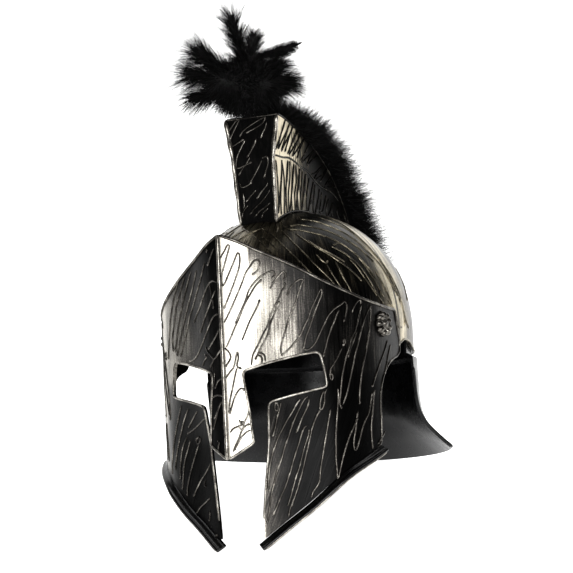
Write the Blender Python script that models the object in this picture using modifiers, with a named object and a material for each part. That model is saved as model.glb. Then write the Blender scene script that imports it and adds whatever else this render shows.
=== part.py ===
"""Crested costume helmet with a face mask, neck guard and feather plume.

Modelled upright in its own frame (millimetres): x to the wearer's left, y from
the mask's ridge to the back of the head, z up from the tip of the nose guard.
Everything hangs on one empty, which tips the helmet back until it rests on the
points of its cheeks and the rim of its neck guard, as it would on a table.
"""
import math

import bmesh
import bpy
import numpy as np
from mathutils import Vector

MM = 0.001

# Skull dome: half of a rounded ellipsoid with a short upright wall below it.
DOME_HALF_WIDTH = 104.0
DOME_FRONT_LENGTH = 118.0
DOME_BACK_LENGTH = 124.0
DOME_HEIGHT = 112.0
DOME_EQUATOR_Z = 110.0
DOME_SKIRT = 20.0
DOME_ROUNDNESS = 2.15
DOME_WALL = 3.0
BROW_SETBACK = 22.0
DOME_CENTRE_Y = BROW_SETBACK + DOME_FRONT_LENGTH
# Lower edge, from the brow (-1) past the ear (0) to the back (1): share of the skirt.
DOME_EDGE = ((-1.0, 0.2), (-0.35, 0.45), (-0.12, 0.725), (-0.02, 0.675), (0.08, 0.475),
             (0.17, 0.525), (0.27, 0.725), (0.45, 0.9), (1.0, 1.0))

# Face mask: a folded sheet that wraps from a ridge round the cheeks to the ears.
MASK_WALL = 2.4
MASK_FIT = 0.3
MASK_HALF_WIDTH = DOME_HALF_WIDTH + MASK_WALL + MASK_FIT
FACE_HEIGHT = 190.5
# Plan from the ridge to the ear: shares of the mask's half-width and of the depth
# from the ridge to the dome's centre.
MASK_PLAN = ((0.0, 0.0), (0.134, 0.044), (0.391, 0.169), (0.651, 0.294), (0.746, 0.351),
             (0.848, 0.432), (0.932, 0.529), (0.979, 0.629), (0.994, 0.729), (0.999, 0.829),
             (1.0, 0.957))
RIDGE_BEAD = 1.6
RIDGE_HALF_WIDTH = 2.2
CHEEK_SETBACK = 13.0
CHEEK_SETBACK_REACH = 0.51
CHEEK_SETBACK_TOP = 0.33
CHEEK_SETBACK_FULL = 0.08
# Outline of one half of the mask: share of the way round the face from the ridge to
# the end of the plan, and share of the face's height above the tip of the nose guard.
MASK_BROW = ((0.0, 1.0), (0.08, 0.9685), (0.166, 0.9265), (0.2625, 0.8845), (0.359, 0.8373),
             (0.45, 0.7874), (0.541, 0.7444), (0.6, 0.7192), (0.6535, 0.6982), (0.723, 0.6787),
             (0.787, 0.6677), (0.868, 0.6593), (0.932, 0.6562), (0.943, 0.6478))
MASK_EAR = ((0.9535, 0.6089), (0.9642, 0.5617), (0.9803, 0.5197), (0.9835, 0.4908),
            (0.9738, 0.4619), (0.9481, 0.442), (0.9053, 0.4304), (0.8598, 0.4121),
            (0.8196, 0.3806), (0.7848, 0.3386), (0.7607, 0.2835), (0.7521, 0.21),
            (0.7521, 0.1417), (0.7478, 0.0735), (0.7392, 0.0367))
MASK_JAW = ((0.6428, -0.0131), (0.5517, -0.063), (0.458, -0.1312), (0.3643, -0.2026),
            (0.2196, -0.2992), (0.1195, -0.3675))
MASK_CHEEK = ((0.1264, -0.273), (0.1441, -0.1207), (0.1618, 0.0105), (0.1746, 0.1312),
              (0.1848, 0.2178), (0.1925, 0.2394), (0.211, 0.2488))
MASK_EYE = ((0.2946, 0.2688), (0.3857, 0.2866), (0.4473, 0.2982), (0.4639, 0.3055),
            (0.4671, 0.3223), (0.4575, 0.3858), (0.4457, 0.4388), (0.4371, 0.4525),
            (0.421, 0.4583), (0.3482, 0.4493), (0.2111, 0.421), (0.1098, 0.3937),
            (0.0921, 0.3864), (0.0857, 0.3706))
MASK_NOSE = ((0.0921, 0.3192), (0.1007, 0.2572), (0.1093, 0.1995), (0.1125, 0.1454),
             (0.1211, 0.0714), (0.1146, 0.0609), (0.0096, -0.001), (0.0, -0.0031))
NOSE_SHARE = 0.124
# Where the sheet is sliced so that it can bend: shares of the way round and of the height.
MASK_BENDS = (0.043, 0.084, 0.129, 0.193, 0.257, 0.321, 0.38, 0.434, 0.47, 0.51, 0.55, 0.59, 0.63,
              0.67, 0.71, 0.75, 0.79, 0.83, 0.87, 0.91, 0.95)
MASK_LEVELS = (-0.157, 0.0, CHEEK_SETBACK_FULL, 0.16, 0.25, CHEEK_SETBACK_TOP, 0.577, 0.787)

# Flared lip under each cheek, ending in a round bead. Its section is given as
# distance below the cheek's edge and distance out from the face.
LIP_GAP = 0.35
LIP_OVERHANG = 5.0
LIP_SECTION = ((0.0, -MASK_WALL), (0.0, 0.0), (3.6, 3.6), (3.8, 5.2), (5.0, 6.0), (6.3, 5.3),
               (6.6, 3.9), (5.6, 2.7))
LIP_STATIONS = 22

# Neck guard: its top laps inside the dome's edge, and its foot flares out.
GUARD_WALL = 2.0
GUARD_FIT = 0.5
GUARD_LAP = 13.0
GUARD_DROP = 85.0
GUARD_FLARE = 29.0
GUARD_DROOP = 7.0
# Below the dome's edge: share of the drop, and share of the flare.
GUARD_PROFILE = ((0.052, 0.08), (0.235, 0.09), (0.424, 0.105), (0.576, 0.15), (0.694, 0.26),
                 (0.776, 0.39), (0.882, 0.65), (0.959, 0.872), (1.0, 1.0))
# Free front edge: share of the drop, and distance behind the dome's centre as a share
# of the dome's back length.
GUARD_EDGE = ((-0.153, 0.2), (0.012, 0.2), (0.459, 0.23), (0.694, 0.282), (0.882, 0.387),
              (1.0, 0.468))
GUARD_DROOP_START = 0.42
GUARD_COLUMNS = 25

# Crest box: a tall holder whose side walls stand up from the dome and lean out
# above a crease.
CREST_HEIGHT = 97.0
CREST_FORWARD = 67.5
CREST_BACKWARD = 106.5
CREST_FRONT_Y = DOME_CENTRE_Y - CREST_FORWARD
CREST_LENGTH = CREST_FORWARD + CREST_BACKWARD
# Share of the crest's length from its front, and of its height: top edge above the
# dome's middle, and depth of the crease below the top edge.
CREST_TOP = ((0.0, 1.0), (0.066, 0.927), (0.158, 0.829), (0.273, 0.727), (0.388, 0.646),
             (0.491, 0.579), (0.578, 0.518), (0.664, 0.453), (0.744, 0.38), (0.813, 0.309),
             (0.888, 0.21), (0.951, 0.135), (1.0, 0.089))
CREST_CREASE = ((0.0, 0.381), (0.273, 0.278), (0.658, 0.154), (1.0, 0.051))
CREST_OPEN_END = 0.92
CREST_BASE_HALF_WIDTH = 17.5
CREST_CREASE_HALF_WIDTH = 19.8
CREST_LEAN = 0.16
CREST_WALL = 2.5
CREST_GAP = 0.5
CREST_FRONT_LEAN = 5.5
CREST_LEAN_REACH = 0.23
CREST_OVERSHOOT = 30.0

# Temple rosettes over the mask's fixings.
ROSETTE_RADIUS = 11.5
ROSETTE_HEIGHT = 5.2
ROSETTE_PETALS = 9
ROSETTE_AROUND = 0.803
ROSETTE_LEVEL = 0.583
ROSETTE_GAP = 0.35

# Plume: its backing sits in the crest box, and the down spreads above it.
PLUME_GAP = 0.6
PLUME_STEM_DEPTH = 9.0
PLUME_HALF_WIDTH = 50.0
PLUME_DEPTH = 50.0
PLUME_BACKING = 12.0
BACK_START = 0.24
BACK_STEM_END = 0.85
BACK_END_ANGLE = math.radians(80.5)
BACK_CREST_STATIONS = 13
BACK_DOME_STATIONS = 4
# Share of the way along the back plume: shares of its half-width and of its depth.
BACK_SPREAD = ((0.0, 0.5, 0.4), (0.12, 0.66, 0.66), (0.3, 0.8, 0.88), (0.55, 0.88, 1.0),
               (0.75, 0.92, 0.94), (0.9, 1.0, 0.88), (1.0, 0.82, 0.6))
LOCK_SWING = 0.16
TUFT_RADII = (30.0, 30.0, 26.0)
TUFT_REACH = 62.0
TUFT_GAP = 1.5
TUFT_FORWARD = 2.5
# Plumes of the front tuft: tip from the tuft's centre and root radius, as shares of its reach.
TUFT_PLUMES = (((-0.08, -0.31, 1.06), 0.27), ((-0.65, -0.53, 0.55), 0.24),
               ((-0.84, -0.47, 0.24), 0.23), ((-0.74, -0.45, -0.16), 0.19),
               ((0.48, -0.29, -0.1), 0.21), ((0.42, 0.23, 0.35), 0.24),
               ((-0.1, -0.81, -0.02), 0.24), ((0.32, -0.35, 0.68), 0.21),
               ((0.52, 0.42, 0.06), 0.25))
TUFT_STEM_SPACE = 8.0
QUILL_ROOT = (0.1, 0.1, 0.42)
QUILL_TIP = (0.66, 0.48, 0.63)
QUILL_RADIUS = 4.5

# Colours (linear), roughness and metallic value of each finish.
FINISHES = {
    "pewter_paint": ((0.055, 0.053, 0.05), 0.35, 0.85),
    "dark_gloss_plastic": ((0.012, 0.012, 0.013), 0.25, 0.0),
    "worn_bronze_paint": ((0.09, 0.08, 0.065), 0.38, 0.8),
    "black_feather_down": ((0.006, 0.006, 0.007), 0.9, 0.0),
}


def smooth(table, at, column=1):
    """Monotone cubic through one column of a table, read at the first column."""
    xs = np.array([row[0] for row in table])
    ys = np.array([row[column] for row in table])
    steps = np.diff(xs)
    slopes = np.diff(ys) / steps
    tangents = np.zeros(len(xs))
    tangents[0], tangents[-1] = slopes[0], slopes[-1]
    turning = slopes[:-1] * slopes[1:] <= 0.0
    first = 2.0 * steps[1:] + steps[:-1]
    second = steps[1:] + 2.0 * steps[:-1]
    flat = np.where(turning, 1.0, 0.0)
    before, after = slopes[:-1] + flat, slopes[1:] + flat
    before, after = np.where(turning, 1.0, before), np.where(turning, 1.0, after)
    tangents[1:-1] = np.where(turning, 0.0, (first + second) / (first / before + second / after))
    at = np.clip(np.asarray(at, float), xs[0], xs[-1])
    index = np.clip(np.searchsorted(xs, at, side="right") - 1, 0, len(xs) - 2)
    step = steps[index]
    t = (at - xs[index]) / step
    return ((2 * t ** 3 - 3 * t ** 2 + 1) * ys[index]
            + (t ** 3 - 2 * t ** 2 + t) * step * tangents[index]
            + (3 * t ** 2 - 2 * t ** 3) * ys[index + 1]
            + (t ** 3 - t ** 2) * step * tangents[index + 1])


def clamp(value):
    return min(max(value, 0.0), 1.0)


def clear_scene():
    for thing in list(bpy.data.objects):
        bpy.data.objects.remove(thing, do_unlink=True)


def make_material(name):
    colour, roughness, metallic = FINISHES[name]
    material = bpy.data.materials.new(name)
    material.use_nodes = True
    shader = material.node_tree.nodes["Principled BSDF"]
    shader.inputs["Base Color"].default_value = (*colour, 1.0)
    shader.inputs["Roughness"].default_value = roughness
    shader.inputs["Metallic"].default_value = metallic
    material.diffuse_color = (*colour, 1.0)
    return material


def add_object(name, mesh, finish, parent):
    mesh.materials.append(MATERIALS[finish])
    thing = bpy.data.objects.new(name, mesh)
    bpy.context.scene.collection.objects.link(thing)
    thing.parent = parent
    return thing


def add_solid(name, points, faces, finish, parent):
    """A closed body from points in millimetres, with its faces turned out."""
    mesh = bpy.data.meshes.new(name)
    mesh.from_pydata([tuple(float(c) * MM for c in p) for p in points], [], faces)
    work = bmesh.new()
    work.from_mesh(mesh)
    bmesh.ops.recalc_face_normals(work, faces=work.faces[:])
    if work.calc_volume(signed=True) < 0.0:
        bmesh.ops.reverse_faces(work, faces=work.faces[:])
    work.to_mesh(mesh)
    work.free()
    return add_object(name, mesh, finish, parent)


def add_sheet(name, work, finish, parent):
    """An open sheet from a bmesh in millimetres, with its faces turned away from the head."""
    centre = Vector((0.0, DOME_CENTRE_Y, DOME_EQUATOR_Z))
    bmesh.ops.recalc_face_normals(work, faces=work.faces[:])
    facing = sum((face.calc_center_median() - centre).dot(face.normal) * face.calc_area()
                 for face in work.faces)
    if facing < 0.0:
        bmesh.ops.reverse_faces(work, faces=work.faces[:])
    for vert in work.verts:
        vert.co *= MM
    mesh = bpy.data.meshes.new(name)
    work.to_mesh(mesh)
    work.free()
    return add_object(name, mesh, finish, parent)


def sheet_from(points, faces):
    work = bmesh.new()
    verts = [work.verts.new(p) for p in points]
    for face in faces:
        work.faces.new([verts[i] for i in face])
    return work


def grid_faces(rows, columns, closed):
    faces = []
    for i in range(rows - 1):
        for j in range(columns if closed else columns - 1):
            k = (j + 1) % columns
            faces.append((i * columns + j, i * columns + k,
                          (i + 1) * columns + k, (i + 1) * columns + j))
    return faces


def tube_faces(rows, count):
    """Faces of rings of points joined into a closed bar."""
    last = (rows - 1) * count
    return grid_faces(rows, count, True) + [tuple(range(count)), tuple(range(last, last + count))]


def thicken(thing, wall):
    """Give a sheet its wall, on the side of the head."""
    modifier = thing.modifiers.new("wall", "SOLIDIFY")
    modifier.thickness = wall * MM
    modifier.offset = -1.0
    modifier.use_even_offset = True
    modifier.use_quality_normals = True


def combine(thing, other, operation):
    """Boolean with another mesh, which is kept out of renders and of the part."""
    other.hide_render = True
    other.display_type = "WIRE"
    bpy.context.scene.collection.objects.unlink(other)
    CUTTERS.objects.link(other)
    modifier = thing.modifiers.new(other.name, "BOOLEAN")
    modifier.operation = operation
    modifier.solver = "EXACT"
    modifier.object = other


def dome_plan(turn, share=1.0):
    """A point of the dome's plan: angle from the wearer's left, and share of the way out."""
    length = DOME_BACK_LENGTH if math.sin(turn) > 0.0 else DOME_FRONT_LENGTH
    return (DOME_HALF_WIDTH * share * math.cos(turn),
            DOME_CENTRE_Y + length * share * math.sin(turn))


def dome_section(angle):
    """Shares of the way out and of the height at an angle down from the dome's top."""
    power = 2.0 / DOME_ROUNDNESS
    return math.sin(angle) ** power, max(math.cos(angle), 0.0) ** power


def dome_height(x, y):
    """Height of the dome's outer surface over a point of its plan."""
    length = DOME_BACK_LENGTH if y > DOME_CENTRE_Y else DOME_FRONT_LENGTH
    ring = math.hypot(x / DOME_HALF_WIDTH, (y - DOME_CENTRE_Y) / length)
    rise = max(0.0, 1.0 - ring ** DOME_ROUNDNESS) ** (1.0 / DOME_ROUNDNESS)
    return DOME_EQUATOR_Z + DOME_HEIGHT * rise


def build_dome(parent):
    rows, columns = 13, 52
    points = [(0.0, DOME_CENTRE_Y, DOME_EQUATOR_Z + DOME_HEIGHT)]
    turns = [2.0 * math.pi * j / columns for j in range(columns)]
    for i in range(1, rows + 1):
        ring, rise = dome_section(0.5 * math.pi * i / rows)
        for turn in turns:
            points.append((*dome_plan(turn, ring), DOME_EQUATOR_Z + DOME_HEIGHT * rise))
    for turn in turns:
        drop = DOME_SKIRT * float(smooth(DOME_EDGE, math.sin(turn)))
        points.append((*dome_plan(turn), DOME_EQUATOR_Z - drop))
    faces = [(0, 1 + j, 1 + (j + 1) % columns) for j in range(columns)]
    faces += [tuple(index + 1 for index in face) for face in grid_faces(rows + 1, columns, True)]
    dome = add_sheet("skull_dome", sheet_from(points, faces), "worn_bronze_paint", parent)
    thicken(dome, DOME_WALL)
    return dome


def guard_rows():
    """Share of the drop below the dome's edge, height, and distance outside the dome."""
    edge = DOME_EQUATOR_Z - DOME_SKIRT
    inside = -(DOME_WALL + GUARD_FIT)
    lap = [(-GUARD_LAP * share / GUARD_DROP, inside) for share in (1.0, 0.45, -0.1)]
    rows = lap + [(share, GUARD_FLARE * flare) for share, flare in GUARD_PROFILE]
    return [(share, edge - GUARD_DROP * share, out) for share, out in rows]


def build_guard(parent):
    points = []
    rows = guard_rows()
    for share, height, outside in rows:
        half_width, half_length = DOME_HALF_WIDTH + outside, DOME_BACK_LENGTH + outside
        start = math.asin(DOME_BACK_LENGTH * float(smooth(GUARD_EDGE, share)) / half_length)
        low = clamp((share - GUARD_DROOP_START) / (1.0 - GUARD_DROOP_START))
        for j in range(GUARD_COLUMNS + 1):
            turn = start + (math.pi - 2.0 * start) * j / GUARD_COLUMNS
            back = (math.sin(turn) - math.sin(start)) / (1.0 - math.sin(start))
            points.append((half_width * math.cos(turn),
                           DOME_CENTRE_Y + half_length * math.sin(turn),
                           height - GUARD_DROOP * back * low))
    faces = grid_faces(len(rows), GUARD_COLUMNS + 1, False)
    guard = add_sheet("neck_guard", sheet_from(points, faces), "dark_gloss_plastic", parent)
    thicken(guard, GUARD_WALL)
    return guard


def plan_table():
    """The mask's plan by distance round the face from the ridge."""
    plan = np.array(MASK_PLAN) * (MASK_HALF_WIDTH, DOME_CENTRE_Y)
    around = np.r_[0.0, np.cumsum(np.hypot(*np.diff(plan, axis=0).T))]
    return list(zip(around, plan[:, 0], plan[:, 1]))


def face_point(around, height, out=0.0, on_cheek=True):
    """A point of the mask: distance round the face, height, and distance out of it."""
    x, y = float(smooth(PLAN, around, 1)), float(smooth(PLAN, around, 2))
    before, after = max(around - 0.5, 0.0), around + 0.5
    dx = float(smooth(PLAN, after, 1) - smooth(PLAN, before, 1))
    dy = float(smooth(PLAN, after, 2) - smooth(PLAN, before, 2))
    length = math.hypot(dx, dy)
    normal = (dy / length, -dx / length) if around > 0.01 else (0.0, -1.0)
    if on_cheek:
        below = clamp((CHEEK_SETBACK_TOP - height / FACE_HEIGHT)
                      / (CHEEK_SETBACK_TOP - CHEEK_SETBACK_FULL))
        near = clamp(1.0 - around / (CHEEK_SETBACK_REACH * PLAN[-1][0]))
        y += CHEEK_SETBACK * below * near
    return Vector((x + normal[0] * out, y + normal[1] * out, height))


def build_mask(parent):
    """The half outline as a flat sheet, sliced where it bends, then wrapped round."""
    reach = PLAN[-1][0]
    outline = MASK_BROW + MASK_EAR + MASK_JAW + MASK_CHEEK + MASK_EYE + MASK_NOSE
    work = bmesh.new()
    work.faces.new([work.verts.new((a * reach, z * FACE_HEIGHT, 0.0)) for a, z in outline])
    cuts = [((RIDGE_HALF_WIDTH, 0.0, 0.0), (1.0, 0.0, 0.0))]
    cuts += [((share * reach, 0.0, 0.0), (1.0, 0.0, 0.0)) for share in MASK_BENDS]
    cuts += [((0.0, share * FACE_HEIGHT, 0.0), (0.0, 1.0, 0.0)) for share in MASK_LEVELS]
    for place, normal in cuts:
        everything = work.verts[:] + work.edges[:] + work.faces[:]
        bmesh.ops.bisect_plane(work, geom=everything, plane_co=place, plane_no=normal)
    bmesh.ops.triangulate(work, faces=work.faces[:])
    for vert in work.verts:
        around, height = vert.co.x, vert.co.y
        on_ridge = around < 0.01
        on_nose = around < NOSE_SHARE * reach and height > MASK_NOSE[-1][1] * FACE_HEIGHT - 0.1
        bead = RIDGE_BEAD if on_ridge else 0.0
        vert.co = face_point(around, height, bead, on_cheek=not on_nose)
        if on_ridge:
            vert.co.x = 0.0
    mask = add_sheet("face_mask", work, "pewter_paint", parent)
    mirror = mask.modifiers.new("other_half", "MIRROR")
    mirror.use_axis = (True, False, False)
    mirror.merge_threshold = 0.0001
    thicken(mask, MASK_WALL)
    return mask


def build_lip(name, side, parent):
    """A flared lip that follows the cheek's lower edge."""
    jaw = np.array((MASK_EAR[-1],) + MASK_JAW)[::-1] * (PLAN[-1][0], FACE_HEIGHT)
    ahead = (jaw[0] - jaw[1]) / np.linalg.norm(jaw[0] - jaw[1])
    jaw = np.vstack((jaw[0] + LIP_OVERHANG * ahead, jaw))
    lengths = np.r_[0.0, np.cumsum(np.hypot(*np.diff(jaw, axis=0).T))]
    rows = [(length, a, z) for length, (a, z) in zip(lengths, jaw)]
    points = []
    for i in range(LIP_STATIONS):
        at = lengths[-1] * i / (LIP_STATIONS - 1)
        around, height = float(smooth(rows, at, 1)), float(smooth(rows, at, 2))
        run = float(smooth(rows, at + 1.0, 1) - smooth(rows, at - 1.0, 1))
        climb = float(smooth(rows, at + 1.0, 2) - smooth(rows, at - 1.0, 2))
        length = math.hypot(run, climb)
        for below, out in LIP_SECTION:
            reach = (below + LIP_GAP) / length
            p = face_point(around + climb * reach, height - run * reach, out)
            points.append((p.x * side, p.y, p.z))
    return add_solid(name, points, tube_faces(LIP_STATIONS, len(LIP_SECTION)), "pewter_paint",
                     parent)


def build_rosette(name, side, parent):
    """A domed flower head with its back flat against the mask."""
    segments, rings = ROSETTE_PETALS * 4, (0.2, 0.38, 0.62, 0.86, 1.0)
    rises = (1.0, 0.72, 1.0, 0.86, 0.3)
    points = [(0.0, 0.0, ROSETTE_HEIGHT * 0.96)]
    for ring, rise in zip(rings, rises):
        for j in range(segments):
            turn = 2.0 * math.pi * j / segments
            valley = 1.0 - abs(math.sin(0.5 * ROSETTE_PETALS * turn))
            outer = max(0.0, (ring - 0.38) / 0.62)
            radius = ROSETTE_RADIUS * ring * (1.0 - 0.14 * outer * valley)
            height = ROSETTE_HEIGHT * rise * (1.0 - (0.35 if ring > 0.5 else 0.0) * valley)
            points.append((radius * math.cos(turn), radius * math.sin(turn), height))
    last = 1 + (len(rings) - 1) * segments
    points += [(x, y, 0.0) for x, y, _ in points[last:]]
    faces = [(0, 1 + j, 1 + (j + 1) % segments) for j in range(segments)]
    faces += [tuple(i + 1 for i in face) for face in grid_faces(len(rings) + 1, segments, True)]
    faces.append(tuple(last + segments + j for j in range(segments)))
    around, height = ROSETTE_AROUND * PLAN[-1][0], ROSETTE_LEVEL * FACE_HEIGHT
    centre = face_point(around, height, ROSETTE_GAP)
    normal = face_point(around, height, ROSETTE_GAP + 1.0) - centre
    centre.x, normal.x = centre.x * side, normal.x * side
    turn = normal.to_track_quat("Z", "Y").to_matrix()
    return add_solid(name, [centre + turn @ Vector(p) for p in points], faces, "pewter_paint",
                     parent)


def crest_top(y):
    share = (y - CREST_FRONT_Y) / CREST_LENGTH
    return dome_height(0.0, y) + CREST_HEIGHT * float(smooth(CREST_TOP, share))


def crease_depth(y):
    return CREST_HEIGHT * float(smooth(CREST_CREASE, (y - CREST_FRONT_Y) / CREST_LENGTH))


def crest_section(y, foot, inside):
    """Half section of the crest box at y: half-width and height from foot to top."""
    top, depth = crest_top(y), crease_depth(y)
    base = dome_height(CREST_BASE_HALF_WIDTH, foot) + CREST_GAP
    crease = max(top - depth, base + 1.0)
    wall = CREST_WALL if inside else 0.0
    widths = (CREST_BASE_HALF_WIDTH - wall, CREST_CREASE_HALF_WIDTH - wall,
              CREST_CREASE_HALF_WIDTH + CREST_LEAN * depth - wall)
    section = list(zip(widths, (base, crease, top)))
    if inside:
        section[0] = (widths[0], base - CREST_OVERSHOOT)
        section.append((widths[2], top + CREST_OVERSHOOT))
    return section


def crest_loft(name, stations, inside, parent):
    points = []
    for y in stations:
        share = (y - CREST_FRONT_Y) / CREST_LENGTH
        foot = y + CREST_FRONT_LEAN * max(0.0, 1.0 - share / CREST_LEAN_REACH)
        half = crest_section(y, foot, inside)
        ring = [(x, foot if k == 0 else y, z) for k, (x, z) in enumerate(half)]
        ring += [(-px, py, pz) for px, py, pz in reversed(ring)]
        if not inside:
            for part in (-0.5, 0.0, 0.5):
                x = part * CREST_BASE_HALF_WIDTH
                ring.append((x, foot, dome_height(x, foot) + CREST_GAP))
        points += ring
    return add_solid(name, points, tube_faces(len(stations), len(ring)), "pewter_paint", parent)


def build_crest(parent):
    ys = [CREST_FRONT_Y + CREST_LENGTH * share for share, _ in CREST_TOP]
    stations = sorted(ys + [0.5 * (a + b) for a, b in zip(ys[:-1], ys[1:])])
    crest = crest_loft("crest_box", stations, False, parent)
    front, back = ys[0] + CREST_WALL, ys[0] + CREST_LENGTH * CREST_OPEN_END
    inner = [front] + [y for y in stations if front < y < back] + [back]
    combine(crest, crest_loft("crest_hollow", inner, True, parent), "DIFFERENCE")
    return crest


def stem_half_width(y):
    """Half-width of the plume's backing, clear of the crest's leaning walls."""
    lean = CREST_LEAN * max(crease_depth(y) - PLUME_STEM_DEPTH, 0.0)
    return CREST_CREASE_HALF_WIDTH + lean - CREST_WALL - PLUME_GAP


def plume_path():
    """Stations of the back plume: y, z, depth of its stem and half-width of its backing."""
    first = CREST_FRONT_Y + CREST_LENGTH * BACK_START
    last = CREST_FRONT_Y + CREST_LENGTH * BACK_STEM_END
    end = CREST_FRONT_Y + CREST_LENGTH
    rows = [(y, crest_top(y), PLUME_STEM_DEPTH, stem_half_width(y))
            for y in np.linspace(first, last, BACK_CREST_STATIONS)]
    for share in (0.5, 0.95):
        y = last + (end - last) * share
        rows.append((y, crest_top(y) + TUFT_GAP, 0.0, PLUME_BACKING))
    rows.append((end + 2.5, crest_top(end) + 0.5, 0.0, PLUME_BACKING))
    start = math.asin((CREST_BACKWARD / DOME_BACK_LENGTH) ** (0.5 * DOME_ROUNDNESS))
    for i in range(BACK_DOME_STATIONS):
        angle = start + (BACK_END_ANGLE - start) * (i + 1.0) / BACK_DOME_STATIONS
        ring, rise = dome_section(angle)
        rows.append((DOME_CENTRE_Y + DOME_BACK_LENGTH * ring + PLUME_GAP * ring,
                     DOME_EQUATOR_Z + DOME_HEIGHT * rise + PLUME_GAP * rise, 0.0, PLUME_BACKING))
    return rows


def build_back_plume(parent):
    """Locks of down fused to a backing that lies in the crest box and on the dome."""
    rows = plume_path()
    track = np.array([(y, z) for y, z, _, _ in rows])
    run = np.r_[0.0, np.cumsum(np.hypot(*np.diff(track, axis=0).T))]
    tangents = np.gradient(track, axis=0)
    tangents /= np.linalg.norm(tangents, axis=1)[:, None]
    points = []
    for i, (y, z, depth, stem) in enumerate(rows):
        share = run[i] / run[-1]
        width = PLUME_HALF_WIDTH * float(smooth(BACK_SPREAD, share, 1))
        tall = PLUME_DEPTH * float(smooth(BACK_SPREAD, share, 2))
        along_y, along_z = tangents[i]
        half = [(0.0, tall), (0.4 * width, 0.95 * tall), (0.82 * width, 0.72 * tall),
                (width, 0.35 * tall), (0.8 * width, 3.0), (stem, 1.6), (stem, -depth)]
        ring = [(-x, n) for x, n in reversed(half)] + half[1:]
        for k, (x, n) in enumerate(ring):
            swing = 0.0
            if n > 3.5:
                side = 1.0 if (i + k) % 2 else -1.0
                swing = LOCK_SWING * side * math.sin(2.4 * i + 2.1 * k)
            push = 0.4 * tall * swing
            out = n * (1.0 + swing)
            points.append((x * (1.0 + swing), y - along_z * out + along_y * push,
                           z + along_y * out + along_z * push))
    return add_solid("plume_back", points, tube_faces(len(rows), len(ring)), "black_feather_down",
                     parent)


def taper(name, root, tip, radius, sides, parent):
    """A tapering plume from root to tip, fuller a third of the way along."""
    axis = (tip - root).normalized()
    across = axis.orthogonal().normalized()
    other = axis.cross(across)
    profile = ((0.0, 0.7), (0.35, 1.0), (0.7, 0.78), (0.9, 0.45), (1.0, 0.07))
    points = []
    for share, full in profile:
        for j in range(sides):
            turn = 2.0 * math.pi * j / sides
            spoke = math.cos(turn) * across + math.sin(turn) * other
            points.append(root.lerp(tip, share) + radius * full * spoke)
    return add_solid(name, points, tube_faces(len(profile), sides), "black_feather_down", parent)


def build_front_plume(parent):
    """Tuft at the front of the crest: plumes fused to a core, and one stiff quill."""
    radii = Vector(TUFT_RADII)
    centre = Vector((0.0, CREST_FRONT_Y - TUFT_FORWARD, crest_top(CREST_FRONT_Y) + radii.z + TUFT_GAP))
    work = bmesh.new()
    bmesh.ops.create_icosphere(work, subdivisions=3, radius=1.0)
    for vert in work.verts:
        vert.co = (centre + vert.co * radii) * MM
    mesh = bpy.data.meshes.new("plume_front")
    work.to_mesh(mesh)
    work.free()
    tuft = add_object("plume_front", mesh, "black_feather_down", parent)
    start = CREST_FRONT_Y + CREST_WALL + PLUME_GAP + 0.6
    end = CREST_FRONT_Y + CREST_LENGTH * BACK_START - TUFT_STEM_SPACE
    points = []
    for y in np.linspace(start, end, 4):
        stem, top = stem_half_width(y), crest_top(y)
        low, high = top - PLUME_STEM_DEPTH, top + 0.45 * radii.z
        points += [(-stem, y, low), (-stem, y, high), (stem, y, high), (stem, y, low)]
    stem = add_solid("tuft_stem", points, tube_faces(4, 4), "black_feather_down", parent)
    combine(tuft, stem, "UNION")
    for number, (tip, radius) in enumerate(TUFT_PLUMES):
        tip = Vector(tip) * TUFT_REACH
        plume = taper(f"tuft_plume_{number}", centre + 0.12 * tip, centre + tip,
                      radius * TUFT_REACH, 9, parent)
        combine(tuft, plume, "UNION")
    quill = taper("tuft_quill", centre + Vector(QUILL_ROOT) * TUFT_REACH,
                  centre + Vector(QUILL_TIP) * TUFT_REACH, QUILL_RADIUS, 7, parent)
    combine(tuft, quill, "UNION")
    return tuft


def finished_points(thing):
    """A piece's points with its wall on, in metres."""
    finished = thing.evaluated_get(bpy.context.evaluated_depsgraph_get())
    return [vert.co.copy() for vert in finished.to_mesh().vertices]


def lowest(points, tilt):
    """Lowest point, in metres, once the helmet is tipped back by an angle."""
    return min(p.z * math.cos(tilt) - p.y * math.sin(tilt) for p in points)


def rest_tilt(front, back):
    """Angle at which the points of the front and back pieces reach the table together."""
    low, high = 0.0, math.radians(45.0)
    for _ in range(60):
        middle = 0.5 * (low + high)
        if lowest(front, middle) < lowest(back, middle):
            low = middle
        else:
            high = middle
    return low


clear_scene()
MATERIALS = {name: make_material(name) for name in FINISHES}
CUTTERS = bpy.data.collections.new("cutters")
bpy.context.scene.collection.children.link(CUTTERS)
PLAN = plan_table()

helmet = bpy.data.objects.new("helmet", None)
bpy.context.scene.collection.objects.link(helmet)
build_dome(helmet)
guard_piece = build_guard(helmet)
build_mask(helmet)
lip_piece = build_lip("cheek_lip_left", 1.0, helmet)
build_lip("cheek_lip_right", -1.0, helmet)
build_rosette("temple_rosette_left", 1.0, helmet)
build_rosette("temple_rosette_right", -1.0, helmet)
build_crest(helmet)
build_back_plume(helmet)
build_front_plume(helmet)

bpy.context.view_layer.update()
lip_points, guard_points = finished_points(lip_piece), finished_points(guard_piece)
rest_angle = rest_tilt(lip_points, guard_points)
depths = [p.y * math.cos(rest_angle) + p.z * math.sin(rest_angle)
          for piece in helmet.children if not piece.hide_render for p in finished_points(piece)]
helmet.rotation_euler = (-rest_angle, 0.0, 0.0)
helmet.location = (0.0, -0.5 * (min(depths) + max(depths)), -lowest(lip_points, rest_angle))
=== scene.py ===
import math

import bmesh
import bpy
import numpy as np
from mathutils import Matrix, Vector


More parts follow.
